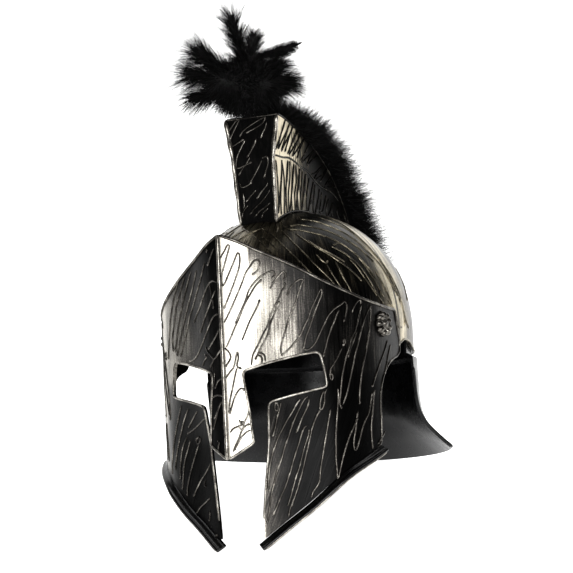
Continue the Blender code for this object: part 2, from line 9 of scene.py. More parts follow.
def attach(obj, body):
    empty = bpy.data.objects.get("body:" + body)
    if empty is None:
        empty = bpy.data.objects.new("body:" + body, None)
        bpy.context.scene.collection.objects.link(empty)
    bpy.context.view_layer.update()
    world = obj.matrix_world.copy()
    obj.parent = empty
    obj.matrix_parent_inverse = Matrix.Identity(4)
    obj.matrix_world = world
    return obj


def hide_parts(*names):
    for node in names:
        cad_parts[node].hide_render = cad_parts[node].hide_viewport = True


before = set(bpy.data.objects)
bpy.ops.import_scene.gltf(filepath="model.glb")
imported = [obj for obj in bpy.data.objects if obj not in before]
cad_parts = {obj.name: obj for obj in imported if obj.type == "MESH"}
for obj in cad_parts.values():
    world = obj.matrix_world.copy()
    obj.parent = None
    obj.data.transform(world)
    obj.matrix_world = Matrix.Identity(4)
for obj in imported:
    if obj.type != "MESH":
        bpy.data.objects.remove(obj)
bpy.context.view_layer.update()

print("frame loaded:", len(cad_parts), "nodes")

# The helmet stands tipped back on its cheek points and on the rim of its neck guard.
# Shapes are worked out upright in millimetres, then placed in metres on the table.
rest = {"tilt": 15.2754, "back": 164.326, "rise": 79.999}


def turned(way):
    # turn about x by the rest tilt t: y' = y cos t + z sin t, z' = z cos t - y sin t
    t = math.radians(rest["tilt"])
    x, y, z = np.moveaxis(np.asarray(way, float), -1, 0)
    return np.stack((x, y * math.cos(t) + z * math.sin(t), z * math.cos(t) - y * math.sin(t)), -1)


def placed(points):
    # turned, then moved back and up, in metres
    return (turned(points) + (0.0, -rest["back"], rest["rise"])) * 0.001


def unit(vectors):
    return vectors / np.maximum(np.linalg.norm(vectors, axis=-1, keepdims=True), 1e-9)


def alongTable(table, at, column=1):
    # monotone cubic through one column of a table, read at its first column
    xs = np.array([row[0] for row in table], float)
    ys = np.array([row[column] for row in table], float)
    steps = np.diff(xs)
    slopes = np.diff(ys) / steps
    turning = slopes[:-1] * slopes[1:] <= 0.0
    before, after = np.where(turning, 1.0, slopes[:-1]), np.where(turning, 1.0, slopes[1:])
    first, second = 2.0 * steps[1:] + steps[:-1], steps[1:] + 2.0 * steps[:-1]
    middle = np.where(turning, 0.0, (first + second) / (first / before + second / after))
    tangents = np.r_[slopes[0], middle, slopes[-1]]
    at = np.clip(np.asarray(at, float), xs[0], xs[-1])
    i = np.clip(np.searchsorted(xs, at, side="right") - 1, 0, len(xs) - 2)
    t = (at - xs[i]) / steps[i]
    return ((2 * t ** 3 - 3 * t ** 2 + 1) * ys[i]
            + (t ** 3 - 2 * t ** 2 + t) * steps[i] * tangents[i]
            + (3 * t ** 2 - 2 * t ** 3) * ys[i + 1]
            + (t ** 3 - t ** 2) * steps[i] * tangents[i + 1])


def gridFaces(rows, columns, closed=False):
    # quads between neighbouring rows of points
    i, j = np.meshgrid(np.arange(rows - 1), np.arange(columns if closed else columns - 1),
                       indexing="ij")
    a, b = i * columns + j, i * columns + (j + 1) % columns
    return np.stack((a, b, b + columns, a + columns), -1).reshape(-1, 4)


def makePiece(name, points, faces, finishes, uv=None, sharp=40.0):
    # a mesh from whole arrays: points in metres, uv in metres along the surface
    mesh = bpy.data.meshes.new(name)
    mesh.from_pydata(np.asarray(points, float).reshape(-1, 3), [], faces)
    if uv is not None:
        corner = np.empty(len(mesh.loops), np.int64)
        mesh.loops.foreach_get("vertex_index", corner)
        layer = mesh.uv_layers.new(name="surface")
        layer.data.foreach_set("uv", np.asarray(uv, float).reshape(-1, 2)[corner].ravel())
    for finish in finishes:
        mesh.materials.append(finish)
    piece = bpy.data.objects.new(name, mesh)
    bpy.context.scene.collection.objects.link(piece)
    mesh.shade_smooth()
    if sharp:
        mesh.set_sharp_from_angle(angle=math.radians(sharp))
    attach(piece, "root")
    return piece


def closeUp(piece, outFrom=None):
    # merge doubles and turn the faces out, away from a point where the mesh is an open sheet
    work = bmesh.new()
    work.from_mesh(piece.data)
    bmesh.ops.remove_doubles(work, verts=work.verts[:], dist=2e-6)
    bmesh.ops.recalc_face_normals(work, faces=work.faces[:])
    if outFrom is not None:
        facing = sum((f.calc_center_median() - outFrom).dot(f.normal) * f.calc_area()
                     for f in work.faces)
        if facing < 0.0:
            bmesh.ops.reverse_faces(work, faces=work.faces[:])
    work.to_mesh(piece.data)
    work.free()
    piece.data.shade_smooth()


def giveWall(piece, wall, inside):
    # wall thickness towards the head, its inner side in the second finish
    solid = piece.modifiers.new("wall", "SOLIDIFY")
    solid.thickness = wall * 0.001
    solid.offset = -1.0
    solid.use_even_offset = True
    solid.use_quality_normals = True
    solid.material_offset = inside
    solid.material_offset_rim = 0
    # open edges stay crisp where the wall is turned in
    corners = np.empty(len(piece.data.loops), np.int64)
    piece.data.loops.foreach_get("edge_index", corners)
    crisp = np.zeros(len(piece.data.edges), bool)
    piece.data.edges.foreach_get("use_edge_sharp", crisp)
    crisp |= np.bincount(corners, minlength=len(crisp)) == 1
    piece.data.edges.foreach_set("use_edge_sharp", crisp)


# finishes
def hexColour(code):
    # sRGB hex to linear, by the standard curve
    srgb = np.array([int(code[i:i + 2], 16) / 255.0 for i in (1, 3, 5)])
    linear = np.where(srgb <= 0.04045, srgb / 12.92, ((srgb + 0.055) / 1.055) ** 2.4)
    return (*linear.tolist(), 1.0)


def addNode(tree, kind, settings=None, links=None):
    # one node, its own settings or socket values, and the sockets that feed it
    node = tree.nodes.new(kind)
    for key, value in (settings or {}).items():
        if isinstance(key, str) and hasattr(node, key):
            setattr(node, key, value)
        else:
            node.inputs[key].default_value = value
    for key, source in (links or {}).items():
        tree.links.new(source, node.inputs[key])
    return node


def newFinish(name):
    # a material, its node tree, its shader and its texture coordinates
    finish = bpy.data.materials.new(name)
    finish.use_nodes = True
    tree = finish.node_tree
    return finish, tree, tree.nodes["Principled BSDF"], addNode(tree, "ShaderNodeTexCoord")


def maths(tree, operation, *terms):
    # one step of arithmetic on numbers and sockets
    node = addNode(tree, "ShaderNodeMath", {"operation": operation})
    for place, term in enumerate(terms):
        if isinstance(term, float):
            node.inputs[place].default_value = term
        else:
            tree.links.new(term, node.inputs[place])
    return node.outputs[0]


def setStops(ramp, stops):
    # (place, colour) pairs, from the lowest place to the highest
    elements = ramp.color_ramp.elements
    elements[0].position, elements[0].color = stops[0]
    elements[1].position, elements[1].color = stops[-1]
    for place, colour in stops[1:-1]:
        elements.new(place).color = colour


def colourAt(tree, source, stops):
    # the colour of a socket's value, from (place, hex) pairs
    ramp = addNode(tree, "ShaderNodeValToRGB", {}, {0: source})
    setStops(ramp, [(place, hexColour(code)) for place, code in stops])
    return ramp.outputs[0]


def lookUp(tree, source, table):
    # value v of a length in metres from (mm, v) pairs, kept in a ramp as the grey (v + 1) / 2
    first, last = table[0][0], table[-1][0]
    share = addNode(tree, "ShaderNodeMapRange",
                    {"From Min": first * 0.001, "From Max": last * 0.001}, {"Value": source})
    ramp = addNode(tree, "ShaderNodeValToRGB", {}, {0: share.outputs[0]})
    setStops(ramp, [((at - first) / (last - first), (0.5 * v + 0.5,) * 3 + (1.0,))
                    for at, v in table])
    return maths(tree, "MULTIPLY_ADD", ramp.outputs[0], 2.0, -1.0)


def setGloss(tree, shader, source, reads, rough):
    # roughness from rough[0] to rough[1] as the source goes from reads[0] to reads[1]
    gloss = addNode(tree, "ShaderNodeMapRange", {"From Min": reads[0], "From Max": reads[1],
                                                 "To Min": rough[0], "To Max": rough[1]},
                    {"Value": source})
    tree.links.new(gloss.outputs[0], shader.inputs["Roughness"])


def setBump(tree, shader, source, strength, depth):
    # marks that stand up to a depth in metres
    raised = addNode(tree, "ShaderNodeBump", {"Strength": strength, "Distance": depth},
                     {"Height": source})
    tree.links.new(raised.outputs[0], shader.inputs["Normal"])


# dry brush: share of the patches, strength of the specks and their size in mm, and in metres
# the height below which strokes slant and the depth of the bristle marks
brush = {"patchShare": 0.5, "grain": 0.3, "speck": 1.1, "slantBelow": 0.055, "depth": 0.0006}


def brushedPaint(name, stops, streak, patch, rough, metallic, bump=0.12, around=None, height=None,
                 slant=0.0):
    # metallic paint dragged on with a nearly dry brush over black plastic: bristle marks
    # run down the surface, and the paint lies thicker in some patches than in others;
    # streak and patch are (width, length) in mm
    finish, tree, shader, place = newFinish(name)
    where = place.outputs["UV"]
    split = addNode(tree, "ShaderNodeSeparateXYZ", {}, {0: where})
    if slant:
        # below the eyes the brush went slantwise: u' = u - slant min(v - 55 mm, 0)
        below = maths(tree, "SUBTRACT", split.outputs[1], brush["slantBelow"])
        below = maths(tree, "MINIMUM", below, 0.0)
        lean = maths(tree, "MULTIPLY_ADD", below, -slant, split.outputs[0])
        where = addNode(tree, "ShaderNodeCombineXYZ", {},
                        {0: lean, 1: split.outputs[1]}).outputs[0]
    fine = addNode(tree, "ShaderNodeMapping",
                   {"Scale": (1000 / streak[0], 1000 / streak[1], 1.0)}, {"Vector": where})
    marks = addNode(tree, "ShaderNodeTexNoise",
                    {"Scale": 1.0, "Detail": 5.0, "Roughness": 0.62, "Distortion": 0.25},
                    {"Vector": fine.outputs[0]}).outputs[0]
    broad = addNode(tree, "ShaderNodeMapping",
                    {"Scale": (1000 / patch[0], 1000 / patch[1], 1.0)},
                    {"Vector": place.outputs["UV"]})
    patches = addNode(tree, "ShaderNodeTexNoise", {"Scale": 1.0, "Detail": 3.0, "Roughness": 0.55},
                      {"Vector": broad.outputs[0]})
    both = addNode(tree, "ShaderNodeMix", {"data_type": "FLOAT", 0: brush["patchShare"]},
                   {2: marks, 3: patches.outputs[0]}).outputs[0]
    # specks where the plastic shows through
    specks = addNode(tree, "ShaderNodeTexNoise",
                     {"Scale": 1000 / brush["speck"], "Detail": 2.0, "Roughness": 0.6},
                     {"Vector": place.outputs["UV"]})
    coverAndLight = maths(tree, "MULTIPLY_ADD", specks.outputs[0], brush["grain"], -0.5 * brush["grain"])
    coverAndLight = maths(tree, "ADD", coverAndLight, both)
    # paint made lighter or darker by the way round and by the height, from (mm, change) tables:
    # partly thicker and thinner paint, partly painted highlight, painted reflection and painted
    # shade
    for axis, table in enumerate((around, height)):
        if table:
            coverAndLight = maths(tree, "ADD", coverAndLight, lookUp(tree, split.outputs[axis], table))
    tree.links.new(colourAt(tree, coverAndLight, stops), shader.inputs["Base Color"])
    setGloss(tree, shader, marks, (0.3, 0.7), rough)
    setBump(tree, shader, marks, bump, brush["depth"])
    shader.inputs["Metallic"].default_value = metallic
    return finish


def pipedPaint(name, stops, rough, metallic):
    # paint over raised beads: shorter and shallower bristle marks
    return brushedPaint(name, stops, (3.0, 9.0), (20.0, 20.0), rough, metallic, bump=0.05)


def mouldedPlastic(name, code, worn, rough, mark, bump=0.03, shine=0.5):
    # injection-moulded ABS: black, with faint flow marks and rubbed patches some mm wide
    finish, tree, shader, place = newFinish(name)
    wear = addNode(tree, "ShaderNodeTexNoise",
                   {"Scale": 1000 / mark, "Detail": 4.0, "Roughness": 0.6},
                   {"Vector": place.outputs["Object"]}).outputs[0]
    colour = colourAt(tree, wear, ((0.35, code), (0.75, worn)))
    tree.links.new(colour, shader.inputs["Base Color"])
    setGloss(tree, shader, wear, (0.3, 0.75), (rough, rough + 0.14))
    setBump(tree, shader, wear, bump, 0.001)
    shader.inputs["Specular IOR Level"].default_value = shine
    return finish


def featherDown(name, code, tip):
    # dyed marabou: soft matt barbs with a faint sheen, a little browner in patches of 9 mm
    finish, tree, shader, place = newFinish(name)
    lot = addNode(tree, "ShaderNodeTexNoise", {"Scale": 1000 / 9.0, "Detail": 2.0},
                  {"Vector": place.outputs["Object"]})
    colour = colourAt(tree, lot.outputs[0], ((0.35, code), (0.75, tip)))
    tree.links.new(colour, shader.inputs["Base Color"])
    shader.inputs["Roughness"].default_value = 0.7
    shader.inputs["Specular IOR Level"].default_value = 0.12
    shader.inputs["Sheen Weight"].default_value = 0.1
    shader.inputs["Sheen Roughness"].default_value = 0.4
    return finish


# pewter paint over black ABS: grey where thick, near black where the brush ran dry. By the way
# round it is made bright beside the ridge on the left half and down that side of the nose guard,
# partly dry-brushed paint and partly a painted highlight of the key softbox; bright on the far band
# of the right half as a painted reflection of the white paper; and dark beside the ridge on the
# right half and towards the ear on the left half, partly thinner paint and partly painted shade
pewterAndLightAround = (
    (-197, 0.3), (-112, 0.26), (-98, 0.0), (-60, -0.16), (-24, -0.26), (-1, -0.3), (1, 1.0),
    (22, 0.95), (25, 0.12), (36, 0.0), (46, -0.07), (62, -0.16), (82, -0.32), (120, -0.3),
    (197, -0.26),
)
pewterHeight = (
    (-72, -0.1), (-30, -0.14), (20, -0.1), (50, -0.02), (60, -0.04), (72, 0.2), (140, 0.2),
    (160, 0.08), (192, -0.2),
)
pewterAndLightStops = ((0.26, "#060606"), (0.44, "#1d1c1b"), (0.58, "#4f4c48"), (0.78, "#b3afa6"))
pewter = brushedPaint("pewterBrushedPaintAndLight", pewterAndLightStops, (1.5, 46.0), (26.0, 60.0), (0.24, 0.4),
                      0.85, around=pewterAndLightAround, height=pewterHeight, slant=0.42)
# the same paint over piped beads takes more rubbing, so it shines brighter on their tops
pipedPewter = pipedPaint("pewterOnPiping", ((0.3, "#121111"), (0.5, "#4c4945"), (0.7, "#a5a199")),
                         (0.16, 0.3), 0.9)
# on the ridge and round the openings it is rubbed nearly bare of black
rubbedPewter = pipedPaint("rubbedPewter", ((0.3, "#23211f"), (0.46, "#6e6a64"), (0.62, "#cfcbc2")),
                          (0.22, 0.36), 0.85)
# warm bronze over black on the dome; the band of bright cream down over each ear is a painted
# reflection of the white paper
bronzeAndReflectionAround = (
    (0, 0.3), (10, 0.24), (24, 0.02), (60, -0.08), (157, 0.0), (290, 0.02), (304, 0.24),
    (314, 0.3), (324, 0.24), (338, 0.02), (390, 0.02), (471, 0.16), (530, -0.04),
    (590, -0.08), (604, 0.02), (618, 0.24), (628.4, 0.3),
)
bronzeAndReflectionStops = ((0.3, "#070706"), (0.48, "#1d1b17"), (0.64, "#5d5749"), (0.9, "#d6ccb4"))
bronze = brushedPaint("bronzeBrushedPaintAndReflection", bronzeAndReflectionStops, (1.8, 40.0), (10.0, 30.0), (0.22, 0.36),
                      0.8, around=bronzeAndReflectionAround)
pipedBronze = pipedPaint("bronzeOnPiping", ((0.3, "#171613"), (0.5, "#5d584c"), (0.7, "#c4baa2")),
                         (0.18, 0.32), 0.85)
pipedBlack = pipedPaint("blackPiping", ((0.4, "#0a0a0a"), (0.55, "#2c2a27"), (0.72, "#8d887c")),
                        (0.16, 0.3), 0.75)
blackPlastic = mouldedPlastic("blackGlossABS", "#040405", "#0c0c0e", 0.2, 14.0, shine=0.35)
lipPaint = mouldedPlastic("lipGlossABS", "#060606", "#141413", 0.18, 9.0, 0.05)
# inside of the shells: the bare black plastic, partly its own colour and partly painted shade,
# darker and matter than the outside so the hollow behind the eye holes stays black
innerPlasticAndShade = mouldedPlastic("blackMattABSAndShade", "#020202", "#050505", 0.6, 10.0, shine=0.06)
down = featherDown("dyedMarabouDown", "#030303", "#0a090a")
quillBlack = featherDown("dyedQuill", "#050506", "#131315")
print("finishes made")


# raised piping
def curveThrough(track, spacing):
    # Catmull-Rom curve through a track's points, at an even spacing
    track = np.asarray(track, float)
    padded = np.vstack((2 * track[0] - track[1], track, 2 * track[-1] - track[-2]))
    t = np.linspace(0.0, 1.0, 12, endpoint=False)[:, None, None]
    a, b, c, d = padded[:-3], padded[1:-2], padded[2:-1], padded[3:]
    curve = 0.5 * (2 * b + (c - a) * t + (2 * a - 5 * b + 4 * c - d) * t ** 2
                   + (3 * b - a - 3 * c + d) * t ** 3)
    curve = np.vstack((curve.swapaxes(0, 1).reshape(-1, track.shape[1]), track[-1:]))
    run = np.r_[0.0, np.cumsum(np.linalg.norm(np.diff(curve, axis=0), axis=1))]
    even = np.linspace(0.0, run[-1], max(int(run[-1] / spacing), 4) + 1)
    return np.stack([np.interp(even, run, column) for column in curve.T], -1)


def beadRings(centre, out, radius, blob=0.0, sides=8, height=0.8):
    # a bead of paste: ring r (cos f across + h sin f out) carried along a path, thinning
    # to nothing at its ends, with a drop where the nozzle was lifted
    run = np.r_[0.0, np.cumsum(np.linalg.norm(np.diff(centre, axis=0), axis=1))]
    left, right = run, run[-1] - run
    size = radius * np.sqrt(np.clip(np.minimum(left, right) / (2.0 * radius), 0.02, 1.0))
    size = size + blob * radius * np.exp(-((right - 1.4 * radius) / (1.3 * radius)) ** 2)
    along = unit(np.gradient(centre, axis=0))
    across = unit(np.cross(along, out))
    turn = np.linspace(0.0, 2.0 * math.pi, sides, endpoint=False)
    ring = (np.cos(turn)[:, None] * across[:, None, :]
            + height * np.sin(turn)[:, None] * out[:, None, :])
    points = centre[:, None, :] + size[:, None, None] * ring
    uv = np.stack(np.broadcast_arrays(turn * np.mean(radius), run[:, None]), -1)
    return points.reshape(-1, 3), gridFaces(len(centre), sides, True), uv.reshape(-1, 2)


def makeBeads(name, beads, finish):
    # many beads as one piece
    points, faces, uvs, offset = [], [], [], 0
    for bead in beads:
        p, f, uv = beadRings(**bead)
        points.append(p)
        faces.append(f + offset)
        uvs.append(uv + (0.0, 37.0 * len(points)))
        offset += len(p)
    return makePiece(name, placed(np.vstack(points)), np.vstack(faces), (finish,),
                     np.vstack(uvs) * 0.001, sharp=0.0)


# skull dome
dome = {
    "halfWidth": 104.0, "front": 118.0, "back": 124.0, "height": 112.0,
    "equator": 110.0, "centreY": 140.0, "skirt": 20.0, "roundness": 2.15, "wall": 3.0,
    # lower edge, from the brow (-1) past the ear (0) to the back (1): share of the skirt
    "edge": ((-1.0, 0.2), (-0.35, 0.45), (-0.12, 0.725), (-0.02, 0.675), (0.08, 0.475),
             (0.17, 0.525), (0.27, 0.725), (0.45, 0.9), (1.0, 1.0)),
    "rows": 54, "columns": 168, "skirtRows": 6, "bead": 0.8,
}
headCentre = Vector(placed((0.0, dome["centreY"], dome["equator"])))


def onDome(turn, angle, out=0.0):
    # rounded ellipsoid: plan radius sin(a)^(2/n), height cos(a)^(2/n); turn from the left ear
    n = dome["roundness"]
    turn, angle = np.broadcast_arrays(np.asarray(turn, float), np.asarray(angle, float))
    length = np.where(np.sin(turn) > 0.0, dome["back"], dome["front"])
    ring = np.clip(np.sin(angle), 0.0, 1.0) ** (2.0 / n)
    rise = np.clip(np.cos(angle), 0.0, 1.0) ** (2.0 / n)
    place = np.stack((dome["halfWidth"] * ring * np.cos(turn),
                      dome["centreY"] + length * ring * np.sin(turn),
                      dome["equator"] + dome["height"] * rise), -1)
    normal = unit(np.stack((np.cos(turn) * ring ** (n - 1) / dome["halfWidth"],
                            np.sin(turn) * ring ** (n - 1) / length,
                            rise ** (n - 1) / dome["height"]), -1))
    return place + np.asarray(out)[..., None] * normal, normal


def domeHeight(x, y):
    # height of the dome over a point of its plan
    length = np.where(np.asarray(y) > dome["centreY"], dome["back"], dome["front"])
    ring = np.hypot(x / dome["halfWidth"], (y - dome["centreY"]) / length)
    n = dome["roundness"]
    return dome["equator"] + dome["height"] * np.clip(1.0 - ring ** n, 0.0, 1.0) ** (1.0 / n)


def makeDome():
    # ellipsoid rows from the crown, then an upright skirt down to the wavy edge
    turn = np.linspace(0.0, 2.0 * math.pi, dome["columns"], endpoint=False)[None, :]
    angle = 0.5 * math.pi * np.linspace(0.0, 1.0, dome["rows"])[:, None]
    cap, _ = onDome(turn, angle)
    drop = dome["skirt"] * alongTable(dome["edge"], np.sin(turn[0]))
    share = np.linspace(0.0, 1.0, dome["skirtRows"] + 1)[1:, None]
    skirt = np.broadcast_to(cap[-1], (dome["skirtRows"], *cap[-1].shape)).copy()
    skirt[..., 2] = dome["equator"] - drop * share
    points = np.concatenate((cap, skirt))
    # paint runs in mm: round the dome, and from the crown down
    slope = np.r_[np.linspace(0.0, 170.0, dome["rows"]), 170.0 + 15.0 * share[:, 0]][:, None]
    uv = np.stack(np.broadcast_arrays(turn * 100.0, slope), -1)
    piece = makePiece("domeShell", placed(points), gridFaces(len(points), dome["columns"], True),
                      (bronze, innerPlasticAndShade), uv * 0.001)
    closeUp(piece, headCentre)
    giveWall(piece, dome["wall"], 1)
    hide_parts("skull_dome")


# neck guard
guard = {
    "wall": 2.0, "fit": 0.5, "lap": 13.0, "drop": 85.0, "flare": 29.0, "droop": 7.0,
    "droopStart": 0.42, "rows": 64, "columns": 140, "rim": 1.3,
    # share of the drop, share of the flare
    "profile": ((0.052, 0.08), (0.235, 0.09), (0.424, 0.105), (0.576, 0.15), (0.694, 0.26),
                (0.776, 0.39), (0.882, 0.65), (0.959, 0.872), (1.0, 1.0)),
    # free front edge: share of the drop, distance behind the middle in dome back lengths
    "edge": ((-0.153, 0.2), (0.012, 0.2), (0.459, 0.23), (0.694, 0.282), (0.882, 0.387),
             (1.0, 0.468)),
}


def onGuard(share, across):
    # half ellipse dome back length + flare behind the ears, from one free edge to the other
    share, across = np.broadcast_arrays(np.asarray(share, float), np.asarray(across, float))
    tuck = -(dome["wall"] + guard["fit"])
    lap = tuple((-guard["lap"] * s / guard["drop"], tuck) for s in (1.0, 0.45, -0.1))
    outside = alongTable(lap + tuple((s, guard["flare"] * f) for s, f in guard["profile"]), share)
    halfWidth, length = dome["halfWidth"] + outside, dome["back"] + outside
    start = np.arcsin(dome["back"] * alongTable(guard["edge"], share) / length)
    turn = start + (math.pi - 2.0 * start) * across
    back = (np.sin(turn) - np.sin(start)) / (1.0 - np.sin(start))
    low = np.clip((share - guard["droopStart"]) / (1.0 - guard["droopStart"]), 0.0, 1.0)
    height = dome["equator"] - dome["skirt"] - guard["drop"] * share - guard["droop"] * back * low
    y = dome["centreY"] + length * np.sin(turn)
    return np.stack((halfWidth * np.cos(turn), y, height), -1)


def makeGuard():
    share = np.linspace(-guard["lap"] / guard["drop"], 1.0, guard["rows"])[:, None]
    across = np.linspace(0.0, 1.0, guard["columns"])[None, :]
    # paint runs in mm: along the foot, and down
    uv = np.stack(np.broadcast_arrays(across * 330.0, share * guard["drop"]), -1)
    piece = makePiece("neckGuardShell", placed(onGuard(share, across)),
                      gridFaces(guard["rows"], guard["columns"]), (blackPlastic, blackPlastic),
                      uv * 0.001)
    closeUp(piece, headCentre)
    giveWall(piece, guard["wall"], 0)
    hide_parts("neck_guard")
    # rounded rim: along both free edges and round the foot
    edge = np.linspace(0.16, 1.0, 40)
    path = np.vstack((onGuard(edge, 0.0), onGuard(1.0, np.linspace(0.0, 1.0, 160))[1:-1],
                      onGuard(edge[::-1], 1.0)))
    path = curveThrough(path[::3], 2.0)
    out = unit(path - (0.0, dome["centreY"], dome["equator"]))
    makeBeads("neckGuardRim", [{"centre": path, "out": out, "radius": guard["rim"], "height": 1.0}],
              blackPlastic)


# face mask
mask = {
    "wall": 2.4, "fit": 0.3, "height": 190.5, "ridgeBead": 1.6, "ridgeHalf": 2.2,
    "setback": 13.0, "setbackReach": 0.51, "setbackTop": 0.33, "setbackFull": 0.08,
    "noseShare": 0.124, "cell": 4.0,
    # plan from the ridge to the ear: shares of the half-width and of the depth to the middle
    "plan": ((0.0, 0.0), (0.134, 0.044), (0.391, 0.169), (0.651, 0.294), (0.746, 0.351),
             (0.848, 0.432), (0.932, 0.529), (0.979, 0.629), (0.994, 0.729), (0.999, 0.829),
             (1.0, 0.957)),
    # outline of one half: share of the way round, share of the height over the nose tip
    "brow": ((0.0, 1.0), (0.08, 0.9685), (0.166, 0.9265), (0.2625, 0.8845), (0.359, 0.8373),
             (0.45, 0.7874), (0.541, 0.7444), (0.6, 0.7192), (0.6535, 0.6982), (0.723, 0.6787),
             (0.787, 0.6677), (0.868, 0.6593), (0.932, 0.6562), (0.943, 0.6478)),
    "ear": ((0.9535, 0.6089), (0.9642, 0.5617), (0.9803, 0.5197), (0.9835, 0.4908),
            (0.9738, 0.4619), (0.9481, 0.442), (0.9053, 0.4304), (0.8598, 0.4121),
            (0.8196, 0.3806), (0.7848, 0.3386), (0.7607, 0.2835), (0.7521, 0.21),
            (0.7521, 0.1417), (0.7478, 0.0735), (0.7392, 0.0367)),
    "jaw": ((0.6428, -0.0131), (0.5517, -0.063), (0.458, -0.1312), (0.3643, -0.2026),
            (0.2196, -0.2992), (0.1195, -0.3675)),
    "cheek": ((0.1264, -0.273), (0.1441, -0.1207), (0.1618, 0.0105), (0.1746, 0.1312),
              (0.1848, 0.2178), (0.1925, 0.2394), (0.211, 0.2488)),
    "eye": ((0.2946, 0.2688), (0.3857, 0.2866), (0.4473, 0.2982), (0.4639, 0.3055),
            (0.4671, 0.3223), (0.4575, 0.3858), (0.4457, 0.4388), (0.4371, 0.4525),
            (0.421, 0.4583), (0.3482, 0.4493), (0.2111, 0.421), (0.1098, 0.3937),
            (0.0921, 0.3864), (0.0857, 0.3706)),
    "nose": ((0.0921, 0.3192), (0.1007, 0.2572), (0.1093, 0.1995), (0.1125, 0.1454),
             (0.1211, 0.0714), (0.1146, 0.0609), (0.0096, -0.001), (0.0, -0.0031)),
    "frameBead": 1.0, "browBead": 1.3, "piping": 0.85,
}
planDepths = np.array(mask["plan"]) * (dome["halfWidth"] + mask["wall"] + mask["fit"],
                                       dome["centreY"])
planRun = np.r_[0.0, np.cumsum(np.hypot(*np.diff(planDepths, axis=0).T))]
planTable = list(zip(planRun, planDepths[:, 0], planDepths[:, 1]))
reach = float(planRun[-1])


def onFace(around, height, out=0.0, side=1.0):
    # the folded plan carried straight up, set out along its normal; the cheeks below the
    # eyes step back towards the head near the middle
    around, height = np.broadcast_arrays(np.asarray(around, float), np.asarray(height, float))
    x, y = alongTable(planTable, around, 1), alongTable(planTable, around, 2)
    before, after = np.maximum(around - 0.5, 0.0), around + 0.5
    dx = alongTable(planTable, after, 1) - alongTable(planTable, before, 1)
    dy = alongTable(planTable, after, 2) - alongTable(planTable, before, 2)
    normal = unit(np.stack((dy, -dx, 0.0 * dx), -1))
    ridge = around < 0.01
    normal = np.where(ridge[..., None], (0.0, -1.0, 0.0), normal)
    onNose = (around < mask["noseShare"] * reach) & (height > -0.7)
    below = np.clip((mask["setbackTop"] - height / mask["height"])
                    / (mask["setbackTop"] - mask["setbackFull"]), 0.0, 1.0)
    near = np.clip(1.0 - around / (mask["setbackReach"] * reach), 0.0, 1.0)
    y = y + np.where(onNose, 0.0, mask["setback"] * below * near)
    place = np.stack((x, y, height), -1) + np.asarray(out)[..., None] * normal
    flip = np.array((side, 1.0, 1.0))
    return place * flip, normal * flip


def cutCorners(track, share=0.16, times=2):
    # each corner gives way to two points a share of the way along its edges
    for _ in range(times):
        a, b = track[:-1], track[1:]
        cut = np.stack((a + share * (b - a), b - share * (b - a)), 1).reshape(-1, 2)
        track = np.vstack((track[:1], cut[1:-1], track[-1:]))
    return track


def makeMask():
    # the half outline laid flat, sliced into small cells, then wrapped round both sides
    parts = [mask[key] for key in ("brow", "ear", "jaw", "cheek", "eye", "nose")]
    outline = cutCorners(np.vstack(parts)) * (reach, mask["height"])
    work = bmesh.new()
    work.faces.new([work.verts.new((a, h, 0.0)) for a, h in outline])
    cuts = [((a, 0.0, 0.0), (1.0, 0.0, 0.0))
            for a in (mask["ridgeHalf"], *np.arange(mask["cell"], reach, mask["cell"]))]
    cuts += [((0.0, h, 0.0), (0.0, 1.0, 0.0)) for h in np.arange(-66.0, 190.0, 1.5 * mask["cell"])]
    for place, way in cuts:
        everything = work.verts[:] + work.edges[:] + work.faces[:]
        bmesh.ops.bisect_plane(work, geom=everything, plane_co=place, plane_no=way)
    bmesh.ops.triangulate(work, faces=work.faces[:])
    flat = bpy.data.meshes.new("maskFlat")
    work.to_mesh(flat)
    work.free()
    spots = np.empty(len(flat.vertices) * 3)
    flat.vertices.foreach_get("co", spots)
    around, height = spots.reshape(-1, 3)[:, 0], spots.reshape(-1, 3)[:, 1]
    faces = np.empty(len(flat.loops), np.int64)
    flat.loops.foreach_get("vertex_index", faces)
    faces = faces.reshape(-1, 3)
    bpy.data.meshes.remove(flat)
    proud = np.where(around < 0.01, mask["ridgeBead"], 0.0)
    halves = [onFace(around, height, proud, side)[0] for side in (1.0, -1.0)]
    uv = np.vstack([np.stack((side * around, height), -1) for side in (1.0, -1.0)])
    piece = makePiece("maskShell", placed(np.vstack(halves)),
                      np.vstack((faces, faces[:, ::-1] + len(around))), (pewter, innerPlasticAndShade),
                      uv * 0.001)
    closeUp(piece, headCentre)
    piece.data.set_sharp_from_angle(angle=math.radians(35.0))
    giveWall(piece, mask["wall"], 1)
    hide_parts("face_mask")


def faceBead(track, side, radius, blob=0.0, lift=0.15):
    # a bead that follows a track of (way round, height) in mm
    track = curveThrough(track, 1.3)
    place, out = onFace(np.abs(track[:, 0]), track[:, 1], lift * radius, side)
    return {"centre": place, "out": out, "radius": radius, "blob": blob}


def makeMaskFrames():
    # the thick bead down the ridge, along the brow and round each opening
    scale = (reach, mask["height"])
    ridge = np.linspace(191.0, -1.5, 110)
    centre = np.stack((0.0 * ridge, 0.0 * ridge - 1.4, ridge), -1)
    rubbed = [{"centre": centre, "out": np.broadcast_to((0.0, -1.0, 0.0), centre.shape),
               "radius": 1.7, "height": 1.0}]
    edges = []
    for side in (1.0, -1.0):
        openings = cutCorners(np.vstack((mask["cheek"], mask["eye"], mask["nose"]))) * scale
        rubbed.append(faceBead(openings[::2], side, mask["frameBead"], lift=0.3))
        brow = cutCorners(np.vstack((mask["brow"], mask["ear"][:2]))) * scale
        edges.append(faceBead(brow[::2], side, mask["browBead"], lift=0.3))
        ear = cutCorners(np.vstack((mask["ear"], mask["jaw"][:1]))) * scale
        edges.append(faceBead(ear[::2], side, 0.9, lift=0.2))
    makeBeads("maskFrames", rubbed, rubbedPewter)
    makeBeads("maskEdges", edges, pipedPewter)


